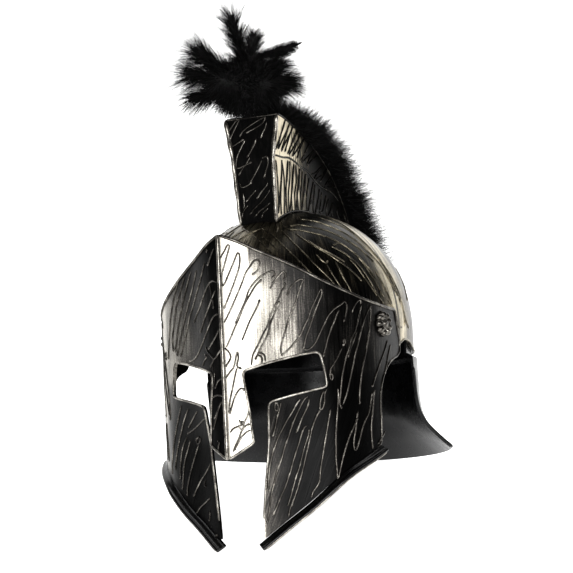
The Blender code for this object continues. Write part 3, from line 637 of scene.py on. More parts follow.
# flared lip below each cheek
lip = {
    "gap": 0.35, "overhang": 5.0, "stations": 110,
    # distance below the cheek's edge, distance out from the face
    "section": ((0.0, -2.4), (0.0, 0.0), (1.7, 1.8), (3.3, 3.2), (3.45, 4.4), (3.9, 5.3),
                (4.7, 5.9), (5.5, 5.8), (6.2, 5.2), (6.55, 4.4), (6.4, 3.4), (5.7, 2.75),
                (4.4, 1.4), (2.0, -1.2)),
    # points of the section: the farthest out, and the one where the lip turns under
    "crown": 6, "turn": 9, "bead": 0.95,
}


def makeLip(name, side, node):
    # the section carried along the cheek's lower edge, square to it
    jaw = np.array((mask["ear"][-1],) + mask["jaw"])[::-1] * (reach, mask["height"])
    ahead = unit(jaw[0] - jaw[1])
    jaw = np.vstack((jaw[0] + lip["overhang"] * ahead, jaw))
    run = np.r_[0.0, np.cumsum(np.hypot(*np.diff(jaw, axis=0).T))]
    table = [(r, a, h) for r, (a, h) in zip(run, jaw)]
    at = np.linspace(0.0, run[-1], lip["stations"])
    around, height = alongTable(table, at, 1), alongTable(table, at, 2)
    step = np.stack((alongTable(table, at + 1.0, 1) - alongTable(table, at - 1.0, 1),
                     alongTable(table, at + 1.0, 2) - alongTable(table, at - 1.0, 2)), -1)
    step = unit(step)
    below, out = np.array(lip["section"]).T + np.array(((lip["gap"],), (0.0,)))
    a = around[:, None] + step[:, 1:2] * below[None, :]
    h = height[:, None] - step[:, 0:1] * below[None, :]
    place, _ = onFace(a, h, np.broadcast_to(out, a.shape), side)
    count = len(lip["section"])
    faces = gridFaces(lip["stations"], count, True).tolist()
    last = (lip["stations"] - 1) * count
    faces += [list(range(count)), list(range(last, last + count))]
    uv = np.stack(np.broadcast_arrays(np.arange(count) * 1.6, at[:, None]), -1)
    piece = makePiece(name, placed(place), faces, (lipPaint,), uv * 0.001)
    closeUp(piece)
    piece.data.set_sharp_from_angle(angle=math.radians(50.0))
    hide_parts(node)
    # thin rubbed bead where the lip turns under
    rim, beyond = place[1:-1, lip["turn"]], place[1:-1, lip["crown"]]
    bead = {"centre": rim, "out": unit(rim - beyond), "radius": lip["bead"], "height": 1.0}
    makeBeads(name + "Rim", [bead], rubbedPewter)


# temple rosettes
rosette = {
    "radius": 11.5, "height": 5.2, "petals": 9, "around": 0.803, "level": 0.583, "gap": 0.35,
    # share of the radius, share of the height: boss, valley round it, petal, outer edge
    "profile": ((0.0, 0.96), (0.2, 0.9), (0.33, 0.5), (0.4, 0.55), (0.62, 1.0), (0.86, 0.8),
                (1.0, 0.25)),
}


def makeRosette(name, side, node):
    # radius R (1 - 0.16 valley) between petals, where the height dips too
    turn = np.linspace(0.0, 2.0 * math.pi, 144, endpoint=False)[None, :]
    ring = np.r_[np.linspace(0.0, 1.0, 26), 1.0][:, None]
    valley = 1.0 - np.abs(np.sin(0.5 * rosette["petals"] * turn)) ** 0.7
    outer = np.clip((ring - 0.38) / 0.62, 0.0, 1.0)
    radius = rosette["radius"] * ring * (1.0 - 0.16 * outer * valley)
    petal = alongTable(rosette["profile"], ring)
    height = rosette["height"] * petal * (1.0 - 0.55 * np.clip((ring - 0.36) / 0.2, 0, 1) * valley)
    height[-1] = 0.0
    height = height + 0.25 * np.sin(7.0 * turn + 3.0) * np.clip(ring, 0, 1) * (height > 0.2)
    around, level = rosette["around"] * reach, rosette["level"] * mask["height"]
    centre, normal = onFace(around, level, rosette["gap"], side)
    across = unit(np.cross((0.0, 0.0, 1.0), normal))
    up = np.cross(normal, across)
    points = (centre + (radius * np.cos(turn))[..., None] * across
              + (radius * np.sin(turn))[..., None] * up + height[..., None] * normal)
    count = turn.shape[1]
    faces = gridFaces(len(ring), count, True).tolist()
    faces.append(list(range((len(ring) - 1) * count, len(ring) * count)))
    uv = np.stack((radius * np.cos(turn), radius * np.sin(turn)), -1)
    piece = makePiece(name, placed(points), faces, (pipedPewter,), uv * 0.001)
    closeUp(piece)
    piece.data.set_sharp_from_angle(angle=math.radians(60.0))
    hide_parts(node)


# crest box
crest = {
    "height": 97.0, "forward": 67.5, "backward": 106.5, "baseHalf": 17.5, "creaseHalf": 19.8,
    "lean": 0.16, "wall": 2.5, "gap": 0.5, "frontLean": 5.5, "leanReach": 0.23,
    "top": ((0.0, 1.0), (0.066, 0.927), (0.158, 0.829), (0.273, 0.727), (0.388, 0.646),
            (0.491, 0.579), (0.578, 0.518), (0.664, 0.453), (0.744, 0.38), (0.813, 0.309),
            (0.888, 0.21), (0.951, 0.135), (1.0, 0.089)),
    "crease": ((0.0, 0.381), (0.273, 0.278), (0.658, 0.154), (1.0, 0.051)),
    "stroke": 0.95, "loop": 0.95,
}
crestFront = dome["centreY"] - crest["forward"]
crestLength = crest["forward"] + crest["backward"]


def crestTop(y):
    share = (y - crestFront) / crestLength
    return domeHeight(0.0, y) + crest["height"] * alongTable(crest["top"], share)


def creaseDepth(y):
    return crest["height"] * alongTable(crest["crease"], (y - crestFront) / crestLength)


def onCrestSide(y, up, side=1.0, out=0.0):
    # side wall at y: straight from its foot to the crease, then leaning out to the top edge
    y, up = np.broadcast_arrays(np.asarray(y, float), np.asarray(up, float))
    share = (y - crestFront) / crestLength
    foot = y + crest["frontLean"] * np.maximum(0.0, 1.0 - share / crest["leanReach"])
    top, depth = crestTop(y), creaseDepth(y)
    base = domeHeight(crest["baseHalf"], foot) + crest["gap"]
    fold = np.maximum(top - depth, base + 1.0)
    z = base + (top - base) * up
    low = np.clip((z - base) / (fold - base), 0.0, 1.0)
    high = np.clip(z - fold, 0.0, None)
    x = crest["baseHalf"] + (crest["creaseHalf"] - crest["baseHalf"]) * low + crest["lean"] * high
    place = np.stack((x + out, foot + (y - foot) * low, z), -1)
    normal = np.stack((1.0 + 0 * x, -0.1 + 0 * x, 0 * x), -1)
    flip = np.array((side, 1.0, 1.0))
    return place * flip, unit(normal) * flip


def onCrestFront(across, up):
    # front wall, between the two side walls' front edges
    left, _ = onCrestSide(crestFront, up)
    place = left * np.stack((across, 1.0 + 0 * across, 1.0 + 0 * across), -1)
    return place, np.broadcast_to((0.0, -1.0, 0.0), place.shape)


# piped lines on the crest: share of its length and of its height, in hundredths
pipedOnCrestSide = (
    (2, 66, 6, 80, 9, 92, 10, 99, 7, 84, 5, 68, 9, 78, 13, 90, 15, 99, 12, 82, 9, 67, 13, 78,
     18, 93, 19, 99, 16, 84, 13, 67),
    (16, 66, 20, 80, 24, 95, 24, 99, 20, 82, 18, 67, 23, 80, 28, 96, 28, 99, 25, 83, 22, 67, 28, 82,
     33, 98, 30, 84, 27, 67),
    (31, 67, 36, 82, 39, 98, 36, 84, 33, 67, 39, 80, 45, 97, 42, 84, 39, 68, 45, 84, 50, 99),
    (44, 58, 50, 71, 56, 92, 52, 74, 48, 56, 55, 72, 61, 98, 58, 78, 55, 62),
    (60, 60, 65, 86, 66, 99, 63, 80, 61, 66, 68, 84, 72, 99),
    (2, 62, 11, 61, 18, 63, 26, 62, 32, 60, 41, 60, 47, 56, 54, 55, 61, 61, 68, 72, 76, 84),
    (3, 58, 4, 40, 4, 20, 3, 6, 6, 22, 9, 42, 10, 58, 9, 40, 7, 20, 7, 3),
    (10, 57, 12, 40, 12, 20, 11, 2, 13, 22, 16, 42, 17, 59, 15, 40, 14, 20, 15, 1),
    (19, 60, 19, 40, 17, 20, 18, 1, 21, 20, 23, 40, 24, 59, 22, 38, 21, 18, 22, 0),
    (26, 59, 27, 40, 25, 22, 26, 0, 28, 20, 30, 38, 31, 57, 29, 38, 28, 18, 29, 1),
    (34, 56, 33, 38, 32, 20, 33, 0, 35, 18, 37, 36, 38, 55, 36, 36, 35, 18),
    (42, 53, 40, 34, 39, 16, 41, 1, 43, 18, 45, 34, 47, 51, 45, 30, 44, 14),
    (49, 50, 48, 30, 47, 13, 49, 0, 51, 15, 53, 30, 54, 48, 53, 28, 52, 12),
    (57, 48, 56, 28, 55, 10, 58, 14, 60, 30, 62, 50, 61, 30),
    (65, 52, 63, 30, 64, 14, 67, 30, 70, 56, 69, 34, 70, 24),
    (76, 70, 75, 50, 78, 46, 80, 60, 82, 82, 85, 82, 87, 99),
)
# on its front: way across, from the right edge (-100) to the left (100), and height
pipedOnCrestFront = (
    (-100, 88.2, -83, 92.4, -59, 98.4, -46, 99.6, -61, 93.6, -83, 85.8, -100, 79.2, -100, 73.8,
     -87, 75, -63, 77.4, -34, 80.4),
    (-51, 82.8, -40, 87, -14, 91.2, 16, 94.8, 43, 97.8, 55, 97.8, 44, 93, 15, 89.4, -24, 85.8),
    (63, 94.8, 56, 88.2, 44, 82.8, 40, 79.2),
    (18, 79.8, 13, 75.6, -2, 70.2, -29, 62.4),
    (-30, 79.2, -52, 72.6, -77, 64.2, -88, 56.4, -74, 54, -42, 55.8, -5, 58.2),
    (46, 60.6, 71, 61.2, 74, 55.2, 62, 49.2, 49, 42),
    (-13, 63, -36, 57, -65, 51, -79, 46.8),
    (-82, 40.8, -70, 36, -43, 36.6, -15, 39.6),
    (68, 37.8, 56, 34.2, 27, 28.8, 3, 23.4),
    (2, 31.8, -27, 27, -57, 21.6),
    (-68, 30.6, -67, 22.8, -72, 15.6),
    (76, 30.6, 53, 25.2, 18, 19.2, -18, 14.4, -43, 9.6),
    (72, 18.6, 43, 15, 8, 11.4, -16, 7.2),
    (45, 58.8, 22, 51.6, -2, 45, -26, 39),
    (-48, 18.6, -80, 12.6, -90, 6.6),
    (59, 13.8, 29, 9, 21, 4.8),
)


def makeCrestBeads():
    # corner beads, the bead round the top edge, and the piped lines of both sides and the front
    edges, beads, loops = [], [], []
    ups = np.linspace(0.0, 1.0, 60)
    for side in (1.0, -1.0):
        place, _ = onCrestSide(crestFront, ups, side)
        corner = unit(np.array((side, -1.0, 0.0)))
        wobble = 0.35 * np.sin(ups * 31.0)[:, None] * np.array((0.0, 1.0, 0.0))
        edges.append({"centre": place + wobble, "out": np.broadcast_to(corner, place.shape),
                      "radius": 1.7 + 0.5 * ups + 0.3 * np.sin(ups * 23.0) * np.sin(ups * 7.0),
                      "height": 1.0})
        rear = np.linspace(0.0, 0.995, 90)
        place, out = onCrestSide(crestFront + crestLength * rear, 1.0, side)
        beads.append({"centre": place, "out": out, "radius": 0.9, "height": 1.0})
        low = np.linspace(0.0, 0.97, 90)
        place, out = onCrestSide(crestFront + crestLength * low, 0.012, side, 0.2)
        beads.append({"centre": place, "out": out, "radius": 0.9, "height": 1.0})
        for line in pipedOnCrestSide:
            track = curveThrough(np.array(line).reshape(-1, 2), 1.7) / 100.0
            track = np.clip(track, 0.0, 1.0)
            place, out = onCrestSide(crestFront + crestLength * track[:, 0], track[:, 1], side, 0.1)
            beads.append({"centre": place, "out": out, "radius": crest["stroke"], "blob": 0.4})
    for line in pipedOnCrestFront:
        track = curveThrough(np.array(line).reshape(-1, 2), 2.0) / 100.0
        track = np.clip(track, (-0.96, 0.0), (0.96, 1.0))
        place, out = onCrestFront(track[:, 0], track[:, 1])
        loops.append({"centre": place, "out": out, "radius": crest["loop"], "blob": 0.5})
    place, out = onCrestFront(np.linspace(-1.0, 1.0, 30), 1.0 + np.zeros(30))
    loops.append({"centre": place, "out": out, "radius": 1.0, "height": 1.0})
    makeBeads("crestSidePiping", beads, pipedBlack)
    makeBeads("crestFrontPiping", loops, pipedPewter)
    makeBeads("crestCorners", edges, rubbedPewter)


# piped lines on the dome: turn from the left ear and angle from the crown, in degrees
pipedOnDome = (
    (-67.2, 39.5, -63, 44.5, -59, 49.8, -54.2, 55.8, -50.3, 61, -45.8, 66.2, -42.2, 70.2, -39.8,
     73.5),
    (-57.5, 42.5, -53, 47, -47.2, 52, -41.2, 56.2, -36, 60.3, -30.8, 64.5, -27.2, 68, -24.5, 71),
    (-47.2, 57, -45.5, 59.8, -42.8, 62, -41.2, 60.5),
    (-42.8, 62.5, -41, 66.8, -38.8, 71.2, -36.5, 75.5),
    (-37.5, 61, -36.2, 65.2, -34.8, 69.8, -32.8, 74, -31.8, 76.8),
    (-50.8, 48, -45, 52.5, -38, 57, -31.5, 61.3),
    (-36.8, 52, -31.5, 55, -27.2, 58.5, -22.8, 63.2, -19.8, 68.8, -17.5, 74, -14.8, 78.5, -12.5,
     81),
    (-28.2, 59.5, -25.2, 63.2, -22.8, 68, -19.8, 72.8, -16.5, 77.8),
    (-21.8, 57.5, -19.2, 62, -17.2, 66.8, -14.5, 72, -11.5, 78),
    (-60.8, 36, -52.8, 35.2, -44, 37.2, -34.2, 40, -26.3, 44.5, -20, 49.2, -14.5, 54.8, -10,
     60.3),
    (-50.8, 28.5, -37.8, 30.8, -27.8, 36, -19.5, 41.8, -13.5, 48, -9.8, 54.5, -6, 60, -3.2, 66.2,
     -0.8, 72.8, 3.5, 76.5),
    (-28.2, 24.8, -18.8, 31, -12.2, 37.8, -8.5, 45.5, -5.8, 52.8, -2.5, 59.8, -0.5, 66.8, 1.2,
     73, 2, 76.8),
    (-10.8, 24.8, -9.2, 34.5, -7.8, 43.2, -5.2, 51.5, -2.2, 58.5, 1.2, 66, 3.7, 72.8, 5, 78.2),
    (-68.8, 29, -65.2, 36, -61.5, 39, -53.8, 40, -44, 42.8, -35, 46.2, -27.5, 51, -22, 56.5),
    (-35.2, 51.2, -29.5, 49.8, -24.5, 53.5, -20.2, 58.8, -16.8, 64, -14, 69),
    (-58.2, 63, -57.5, 65.5, -55, 67.5),
    (-82.5, 36.5, -73, 43.2, -66, 50.3, -60.5, 56.8, -55.5, 62.5, -51, 67.8),
    (-102, 34.2, -88.2, 41, -78.5, 48.8, -71.5, 55),
    (-110, 36, -110, 40, -110, 42),
    (-79.8, 44.2, -75, 47.5, -69.5, 52.5),
    (-8.8, 79.2, -4.5, 82.8, -3, 87.2, -1.8, 89.8, 2.2, 89.8),
    (3, 77.5, 5.5, 81.8, 7.5, 86.8, 11, 89.8),
    (1.5, 74, 5, 78.2, 6, 83.5, 5.5, 89.2),
    (-12.2, 64.8, -10, 70.8, -7.5, 76.2, -5.8, 80.8),
)


def makeDomePiping():
    # the lines fan out from the foot of the crest, back and down, the same on either side
    beads = []
    for side in (1.0, -1.0):
        for line in pipedOnDome:
            track = curveThrough(np.array(line).reshape(-1, 2), 0.8)
            turns = np.radians(track[:, 0] if side > 0.0 else 180.0 - track[:, 0])
            place, out = onDome(turns, np.radians(track[:, 1]), 0.1)
            beads.append({"centre": place, "out": out, "radius": dome["bead"], "blob": 0.4})
            if track[:, 0].max() < -14.0 and track[:, 1].min() > 34.0:
                # the same lines again on the back half
                place, out = onDome(-turns, np.radians(track[:, 1]), 0.1)
                beads.append({"centre": place, "out": out, "radius": dome["bead"], "blob": 0.4})
        # thin bead along the wavy lower edge
        turn = np.linspace(-0.12, 0.5 * math.pi, 130)
        turn = turn if side > 0.0 else math.pi - turn
        place, out = onDome(turn, 0.5 * math.pi)
        drop = dome["skirt"] * alongTable(dome["edge"], np.sin(turn))
        place = place - drop[:, None] * np.array((0.0, 0.0, 1.0))
        beads.append({"centre": place, "out": out, "radius": 0.9, "height": 1.0})
    makeBeads("domePiping", beads, pipedBronze)


# piped lines on the mask: way round from the ridge and height over the nose tip, in mm, in turn
pipedOnLeftHalf = (
    (0.7, 170, 4.7, 176.5, 7.7, 181.5, 9.2, 180, 6.2, 170.5, 3.2, 161, 1.2, 152.5, 1.7, 146),
    (2.2, 146, 5.2, 151.5, 8.7, 159, 12.7, 167.5, 16.2, 174.5, 17.7, 170.5, 16.7, 162, 12.7, 151,
     8.2, 140.5, 2.2, 127),
    (1.7, 115, 6.7, 124, 12.2, 135, 17.7, 146.5, 22.2, 157, 26.2, 162.5, 29.7, 167, 33.2, 167.5,
     34.7, 164, 31.7, 158, 27.2, 155),
    (11.2, 114, 15.7, 123, 20.7, 133, 24.2, 142, 28.7, 148, 34.2, 153, 40.2, 156.5, 45.7, 157.5,
     46.7, 154.5, 44.2, 151),
    (2.7, 94, 6.2, 101, 10.7, 110.5, 15.7, 120.5, 20.2, 130.5, 25.2, 138.5, 30.2, 146, 35.7, 151),
    (16.2, 99, 20.2, 108, 24.2, 116.5, 27.7, 122.5, 31.2, 129, 33.2, 134),
    (23.2, 77.5, 25.2, 87, 29.7, 95, 34.2, 103.5, 39.2, 112.5, 42.2, 121, 45.7, 128, 49.7, 134.5,
     52.2, 140.5, 55.2, 144.5, 54.7, 148),
    (27.7, 84, 31.2, 91, 36.7, 100, 39.7, 107.5, 41.7, 114, 46.7, 125, 50.2, 132),
    (42.2, 142.5, 46.2, 149, 50.7, 154, 54.7, 157, 56.2, 154, 53.7, 149),
    (49.2, 86, 49.2, 92.5, 52.2, 102, 56.2, 113.5, 60.2, 123, 63.7, 130.5, 66.7, 139, 69.7,
     146.5, 70.7, 150, 65.7, 148.5, 59.2, 142.5, 56.7, 136),
    (48.7, 85, 55.2, 90, 60.7, 95.5, 66.2, 102, 69.7, 109, 73.7, 116.5, 77.2, 125, 81.2, 132.5,
     85.7, 141, 86.7, 138, 84.7, 132.5, 80.7, 124, 77.7, 116.5, 74.7, 108.5, 71.2, 100.5, 68.2,
     90),
    (68.2, 90, 72.2, 89.5, 76.7, 92.5, 80.2, 97.5, 84.2, 105, 87.7, 111.5, 91.7, 118.5, 96.7,
     123.5, 103.2, 127.5, 106.7, 130, 108.7, 126, 107.2, 119, 104.7, 112),
    (101.2, 123.5, 96.7, 114, 92.7, 105.5, 89.7, 98, 87.7, 91, 84.7, 82.5),
    (103.2, 92.5, 104.2, 98.5, 105.2, 95, 102.7, 91.5),
    (113.2, 120, 115.2, 125, 119.2, 130, 122.7, 131, 122.2, 127.5),
    (123.2, 127.5, 120.7, 120, 118.2, 112, 115.2, 104.5, 111.7, 98.5, 109.7, 92.5, 106.2, 84.5,
     103.2, 74.5, 100.7, 64.5, 99.2, 54, 97.7, 44, 99.2, 38),
    (100.2, 41.5, 104.2, 50.5, 107.7, 61.5, 111.2, 73.5, 114.7, 85.5, 118.2, 95.5, 122.2, 107,
     127.2, 117.5, 133.7, 127),
    (133.7, 126, 133.2, 117.5, 131.2, 107, 128.2, 96.5, 125.2, 86, 121.2, 73.5, 118.2, 60.5,
     116.7, 50.5, 116.2, 41.5),
    (158.2, 97.5, 151.7, 88.5, 143.7, 78.5, 137.2, 69, 132.7, 60.5, 130.2, 56),
    (163.7, 94, 158.7, 86, 154.2, 77, 149.2, 67.5),
    (102.2, 91, 98.7, 84, 95.2, 78, 91.2, 72.5, 90.2, 65.5, 91.7, 63, 92.7, 66, 91.2, 69),
    (117.2, 105, 113.7, 96.5, 109.2, 88, 107.2, 81.5),
    (96.7, 56, 96.7, 49, 95.7, 40, 94.2, 29, 92.7, 17, 92.2, 6, 91.7, -4, 92.2, -12.5, 92.7, -21,
     95.7, -12, 98.2, -3.5, 101.2, 5.5, 105.2, 15, 109.7, 23, 113.7, 30.5),
    (114.2, 36.5, 112.7, 29, 111.2, 20.5, 109.2, 12, 108.7, 6, 110.2, 2.5, 113.7, 9.5, 116.7, 18,
     120.2, 26.5, 125.2, 34.5, 128.2, 43.5, 130.7, 52),
    (133.2, 54.5, 131.7, 46, 129.7, 35.5, 127.7, 24.5, 127.2, 13.5, 127.7, 3),
    (145.2, 19, 142.7, 15.5, 137.7, 11.5, 134.2, 7),
    (86.7, 56, 84.7, 51, 84.2, 45.5, 82.2, 39.5, 79.7, 38.5, 80.2, 44.5, 82.2, 50.5, 84.2, 54),
    (89.2, 39, 87.2, 30.5, 84.7, 20.5, 82.2, 10.5, 79.7, -0.5, 77.2, -11, 75.7, -21.5, 72.7, -27,
     69.2, -31, 67.7, -36),
    (80.2, 38.5, 76.7, 33.5, 73.2, 27, 70.2, 19.5, 67.2, 9.5, 64.2, -0.5, 61.2, -10.5, 57.7,
     -20.5, 54.7, -29.5, 50.7, -38, 47.7, -44.5, 46.2, -51),
    (69.7, 50, 66.2, 47, 62.2, 41, 58.2, 34.5, 54.7, 28, 51.2, 20.5, 47.7, 13, 44.7, 5.5, 41.7,
     -3, 37.2, -13, 34.2, -23, 31.2, -32, 29.7, -40.5, 28.2, -48.5, 26.2, -56),
    (70.7, 49, 70.2, 45, 67.2, 38.5, 63.2, 32, 59.7, 25, 56.7, 19.5),
    (67.7, 25.5, 64.2, 23.5, 60.7, 16.5, 57.7, 8.5, 54.2, 0, 51.2, -8.5, 48.2, -16.5, 44.2, -26,
     39.7, -34, 35.7, -42.5, 31.7, -49.5),
    (68.7, 23, 67.2, 16.5, 63.7, 8, 60.7, -1, 57.7, -10.5, 54.2, -18.5, 51.2, -27, 48.7, -34.5,
     45.7, -42),
    (63.7, 48.5, 59.7, 44, 54.7, 37, 49.7, 30.5, 45.2, 24, 40.7, 17.5, 36.7, 9, 33.7, 1.5, 31.2,
     -7.5, 29.7, -17.5, 28.7, -27.5),
    (46.2, 46, 43.7, 39.5, 40.7, 32, 38.2, 24.5, 35.2, 17),
    (41.7, 47, 40.2, 42, 41.7, 38.5, 43.2, 43, 41.7, 46.5),
    (61.2, -12, 56.7, -24, 52.7, -34, 48.7, -43),
    (32.2, 79, 32.7, 84, 29.2, 86.5, 26.7, 82.5),
    (35.7, 80.5, 34.7, 86.5, 30.2, 89),
)
pipedOnRightHalf = (
    (16.7, 183, 16.2, 179.5, 16.7, 177),
    (3.7, 150.5, 10.2, 152, 16.2, 149.5, 22.7, 143, 28.7, 136, 34.7, 129.5, 41.2, 123.5, 44.7,
     119.5),
    (14.7, 150, 12.7, 143, 11.2, 136, 10.2, 128),
    (4.2, 123.5, 10.7, 121.5, 17.2, 115, 22.7, 108.5, 28.2, 102.5, 34.7, 96, 40.7, 91, 48.2,
     87.5, 55.2, 87),
    (3.7, 110.5, 9.2, 104, 15.7, 98, 20.7, 94),
    (25.2, 97.5, 22.2, 93, 17.7, 89.5, 12.2, 85.5, 6.2, 90, 2.2, 92.5),
    (12.2, 85.5, 15.2, 82.5, 18.7, 78.5),
    (27.7, 91, 24.2, 88, 28.2, 85, 32.2, 81),
    (20.7, 169.5, 26.7, 159, 35.2, 147, 43.7, 135.5, 52.2, 124.5, 58.2, 112.5, 64.7, 102, 70.7,
     92),
    (35.7, 164.5, 42.2, 153, 50.7, 140, 58.7, 127.5, 65.2, 115, 71.2, 104, 77.2, 93),
    (46.7, 164, 55.2, 151, 63.2, 137.5, 69.7, 124, 75.2, 110.5, 79.7, 97),
    (57.7, 161, 65.7, 149.5, 74.2, 137, 79.2, 123.5, 84.7, 109.5, 83.7, 97.5),
    (68.7, 158.5, 77.2, 146, 84.2, 133.5, 89.2, 120, 93.2, 106, 96.7, 92),
    (6.7, 144, 12.7, 136, 19.2, 127.5, 26.7, 118.5, 33.2, 109.5),
    (6.7, 179.5, 11.2, 173, 16.2, 165.5),
    (35.2, 36.5, 43.2, 33.5, 52.2, 29.5, 60.2, 26.5, 67.2, 24.5),
    (67.2, 22.5, 75.2, 14.5, 79.2, 5, 81.7, -4.5, 82.7, -15),
    (50.2, 22, 47.7, 18.5, 51.7, 15, 54.2, 18.5, 50.7, 21),
    (51.7, 14, 56.7, 5.5, 62.2, -3.5, 67.7, -14, 71.7, -24, 71.7, -29.5),
    (73.2, 50, 80.7, 38, 87.7, 25.5, 93.7, 12.5, 97.7, 0.5, 99.2, -9.5),
    (61.7, 46.5, 70.2, 37, 76.7, 26.5, 83.2, 15.5, 88.2, 4.5, 91.2, -6),
    (47.7, 43.5, 57.2, 36, 64.7, 29.5),
    (33.7, -3, 40.7, -9.5, 49.2, -16, 56.2, -23, 62.7, -30.5),
    (43.2, -16.5, 44.7, -20, 41.7, -22.5),
    (36.2, -32, 44.7, -36, 52.7, -40, 59.2, -45),
    (38.7, -42, 38.2, -47.5, 39.7, -52.5),
    (35.7, -63.5, 32.7, -66.5, 27.7, -63),
    (63.2, 19, 69.2, 9, 74.7, -1.5, 77.2, -11.5, 79.7, -24),
)
# and on each half of the nose guard
pipedOnNoseLeft = (
    (0.7, 94.5, 4.2, 91, 6.2, 86, 3.7, 81, 0.7, 77.5),
    (0.7, 67.5, 5.2, 73.5, 8.7, 78, 11.7, 90, 12.7, 85, 11.2, 78, 15.2, 75.5),
    (11.2, 77, 8.7, 68, 6.2, 58, 3.7, 48, 2.7, 38.5),
    (3.2, 37, 5.7, 45.5, 8.2, 52, 11.7, 57.5, 14.7, 59, 17.2, 56.5),
    (2.7, 21.5, 5.2, 25, 9.7, 27, 14.2, 29, 17.7, 34.5, 20.2, 40.5),
    (4.7, 5.5, 7.2, 11.5, 10.2, 17, 12.7, 23, 16.7, 27.5, 20.2, 28.5),
    (20.7, 23.5, 16.2, 21.5, 11.7, 17, 8.2, 11.5, 5.2, 6.5),
    (10.7, 33, 12.2, 29, 10.7, 26.5, 13.2, 24, 14.7, 29, 12.7, 31.5),
)
pipedOnNoseRight = (
    (12.7, 74.5, 14.2, 65, 19.2, 53.5, 10.2, 54.5, 2.2, 53.5),
    (3.7, 68.5, 9.2, 65.5, 12.7, 60),
    (5.2, 48.5, 9.7, 42, 15.7, 34.5),
    (13.2, 16, 10.2, 14, 12.2, 10, 9.7, 4.5),
    (8.2, 46, 12.7, 35.5, 18.2, 25.5),
)


def makeMaskPiping():
    # the traced lines of each half; the side turned away at the back repeats the other half's
    beads = []
    tracks = [(line, 1.0) for line in pipedOnLeftHalf + pipedOnNoseLeft]
    tracks += [(line, -1.0) for line in pipedOnRightHalf + pipedOnNoseRight]
    tracks += [(line, -1.0) for line in pipedOnLeftHalf if min(line[::2]) > 96.0]
    for line, side in tracks:
        beads.append(faceBead(np.array(line).reshape(-1, 2), side, mask["piping"], 0.6))
    makeBeads("maskPiping", beads, pipedPewter)


# plume of marabou
tuft = {
    "radii": (30.0, 30.0, 26.0), "reach": 62.0, "gap": 1.5, "forward": 2.5,
    # tip from the tuft's centre and root radius, as shares of its reach
    "plumes": (((-0.08, -0.31, 1.06), 0.27), ((-0.6, -0.5, 0.52), 0.33),
               ((-0.78, -0.44, 0.24), 0.3), ((-0.7, -0.43, -0.14), 0.25),
               ((0.48, -0.29, -0.1), 0.21), ((0.42, 0.23, 0.35), 0.24),
               ((-0.1, -0.81, -0.02), 0.24), ((0.32, -0.35, 0.68), 0.21),
               ((0.52, 0.42, 0.06), 0.25)),
    "locks": 130, "barbs": 15, "width": 0.34, "under": 1200, "heart": 0.86,
    "quillRoot": (0.1, 0.1, 0.42), "quillTip": (0.66, 0.48, 0.63),
}
boa = {
    "halfWidth": 50.0, "depth": 50.0, "start": 0.15, "stemEnd": 0.85, "endAngle": 80.5,
    # share of the way: shares of half-width and depth
    "spread": ((0.0, 0.5, 0.4), (0.12, 0.66, 0.66), (0.3, 0.8, 0.88), (0.55, 0.88, 1.0),
               (0.75, 0.92, 0.94), (0.9, 1.0, 0.88), (1.0, 0.82, 0.6)),
    "locks": 1600, "barbs": 15, "width": 0.34, "under": 1400, "heart": 0.7,
}
tuftCentre = np.array((0.0, crestFront - tuft["forward"],
                       float(crestTop(crestFront)) + tuft["radii"][2] + tuft["gap"]))


def featherLocks(name, roots, ways, lengths, settings, finish, rng, fan=0.35, droop=0.18):
    # every lock is a bundle of barbs, p(t) = root + L (way t + c fan across t (1 - 0.45 t))
    # less droop L t^2 in height, each a ribbon whose width falls as 1 - 0.9 t^1.6
    barbs, steps = settings["barbs"], 5
    roots, ways = np.repeat(roots, barbs, 0), np.repeat(ways, barbs, 0)
    lengths = np.repeat(lengths, barbs) * (0.5 + 0.75 * rng.uniform(0.0, 1.0, len(roots)) ** 1.6)
    count = len(roots)
    loose = unit(rng.normal(size=(count, 3)))
    across = unit(np.cross(ways, loose))
    ways = unit(ways + fan * 0.45 * loose)
    roots = roots + 1.4 * loose
    t = np.linspace(0.0, 1.0, steps)[None, :, None]
    reachOut = lengths[:, None, None]
    swirl = rng.uniform(-0.5, 0.5, (count, 1, 1)) * np.sin(t * rng.uniform(3.0, 7.0, (count, 1, 1)))
    line = (roots[:, None] + ways[:, None] * reachOut * t
            + across[:, None] * reachOut * fan * (t * (1.0 - 0.45 * t))
            * rng.uniform(-1, 1, (count, 1, 1))
            + across[:, None] * reachOut * 0.1 * swirl)
    line[..., 2] -= (droop * reachOut * t ** 2)[..., 0]
    half = 0.5 * settings["width"] * (1.0 - t ** 1.6 * 0.9) * np.cross(ways, across)[:, None]
    points = np.stack((line - half, line + half), 2)
    base = (np.arange(count) * steps * 2)[:, None]
    rung = np.arange(steps - 1)[None, :] * 2
    a = base + rung
    faces = np.stack((a, a + 1, a + 3, a + 2), -1).reshape(-1, 4)
    return makePiece(name, placed(points.reshape(-1, 3)), faces, (finish,),
                     sharp=0.0)


def lumpyBall(name, centre, radii, seed):
    # ellipsoid with soft lumps: r (1 + 0.07 sin sin), the dark heart of the tuft
    rows, columns = 40, 72
    turn = np.linspace(0.0, 2.0 * math.pi, columns, endpoint=False)[None, :]
    fall = np.linspace(0.0, math.pi, rows)[:, None]
    lump = (1.0 + 0.07 * np.sin(5.0 * turn + seed) * np.sin(4.0 * fall)
            + 0.04 * np.sin(11 * turn + 7 * fall))
    points = centre + np.stack((radii[0] * lump * np.sin(fall) * np.cos(turn),
                                radii[1] * lump * np.sin(fall) * np.sin(turn),
                                radii[2] * np.cos(fall) * np.ones_like(lump)), -1)
    piece = makePiece(name, placed(points), gridFaces(rows, columns, True), (down,))
    closeUp(piece)
    return piece


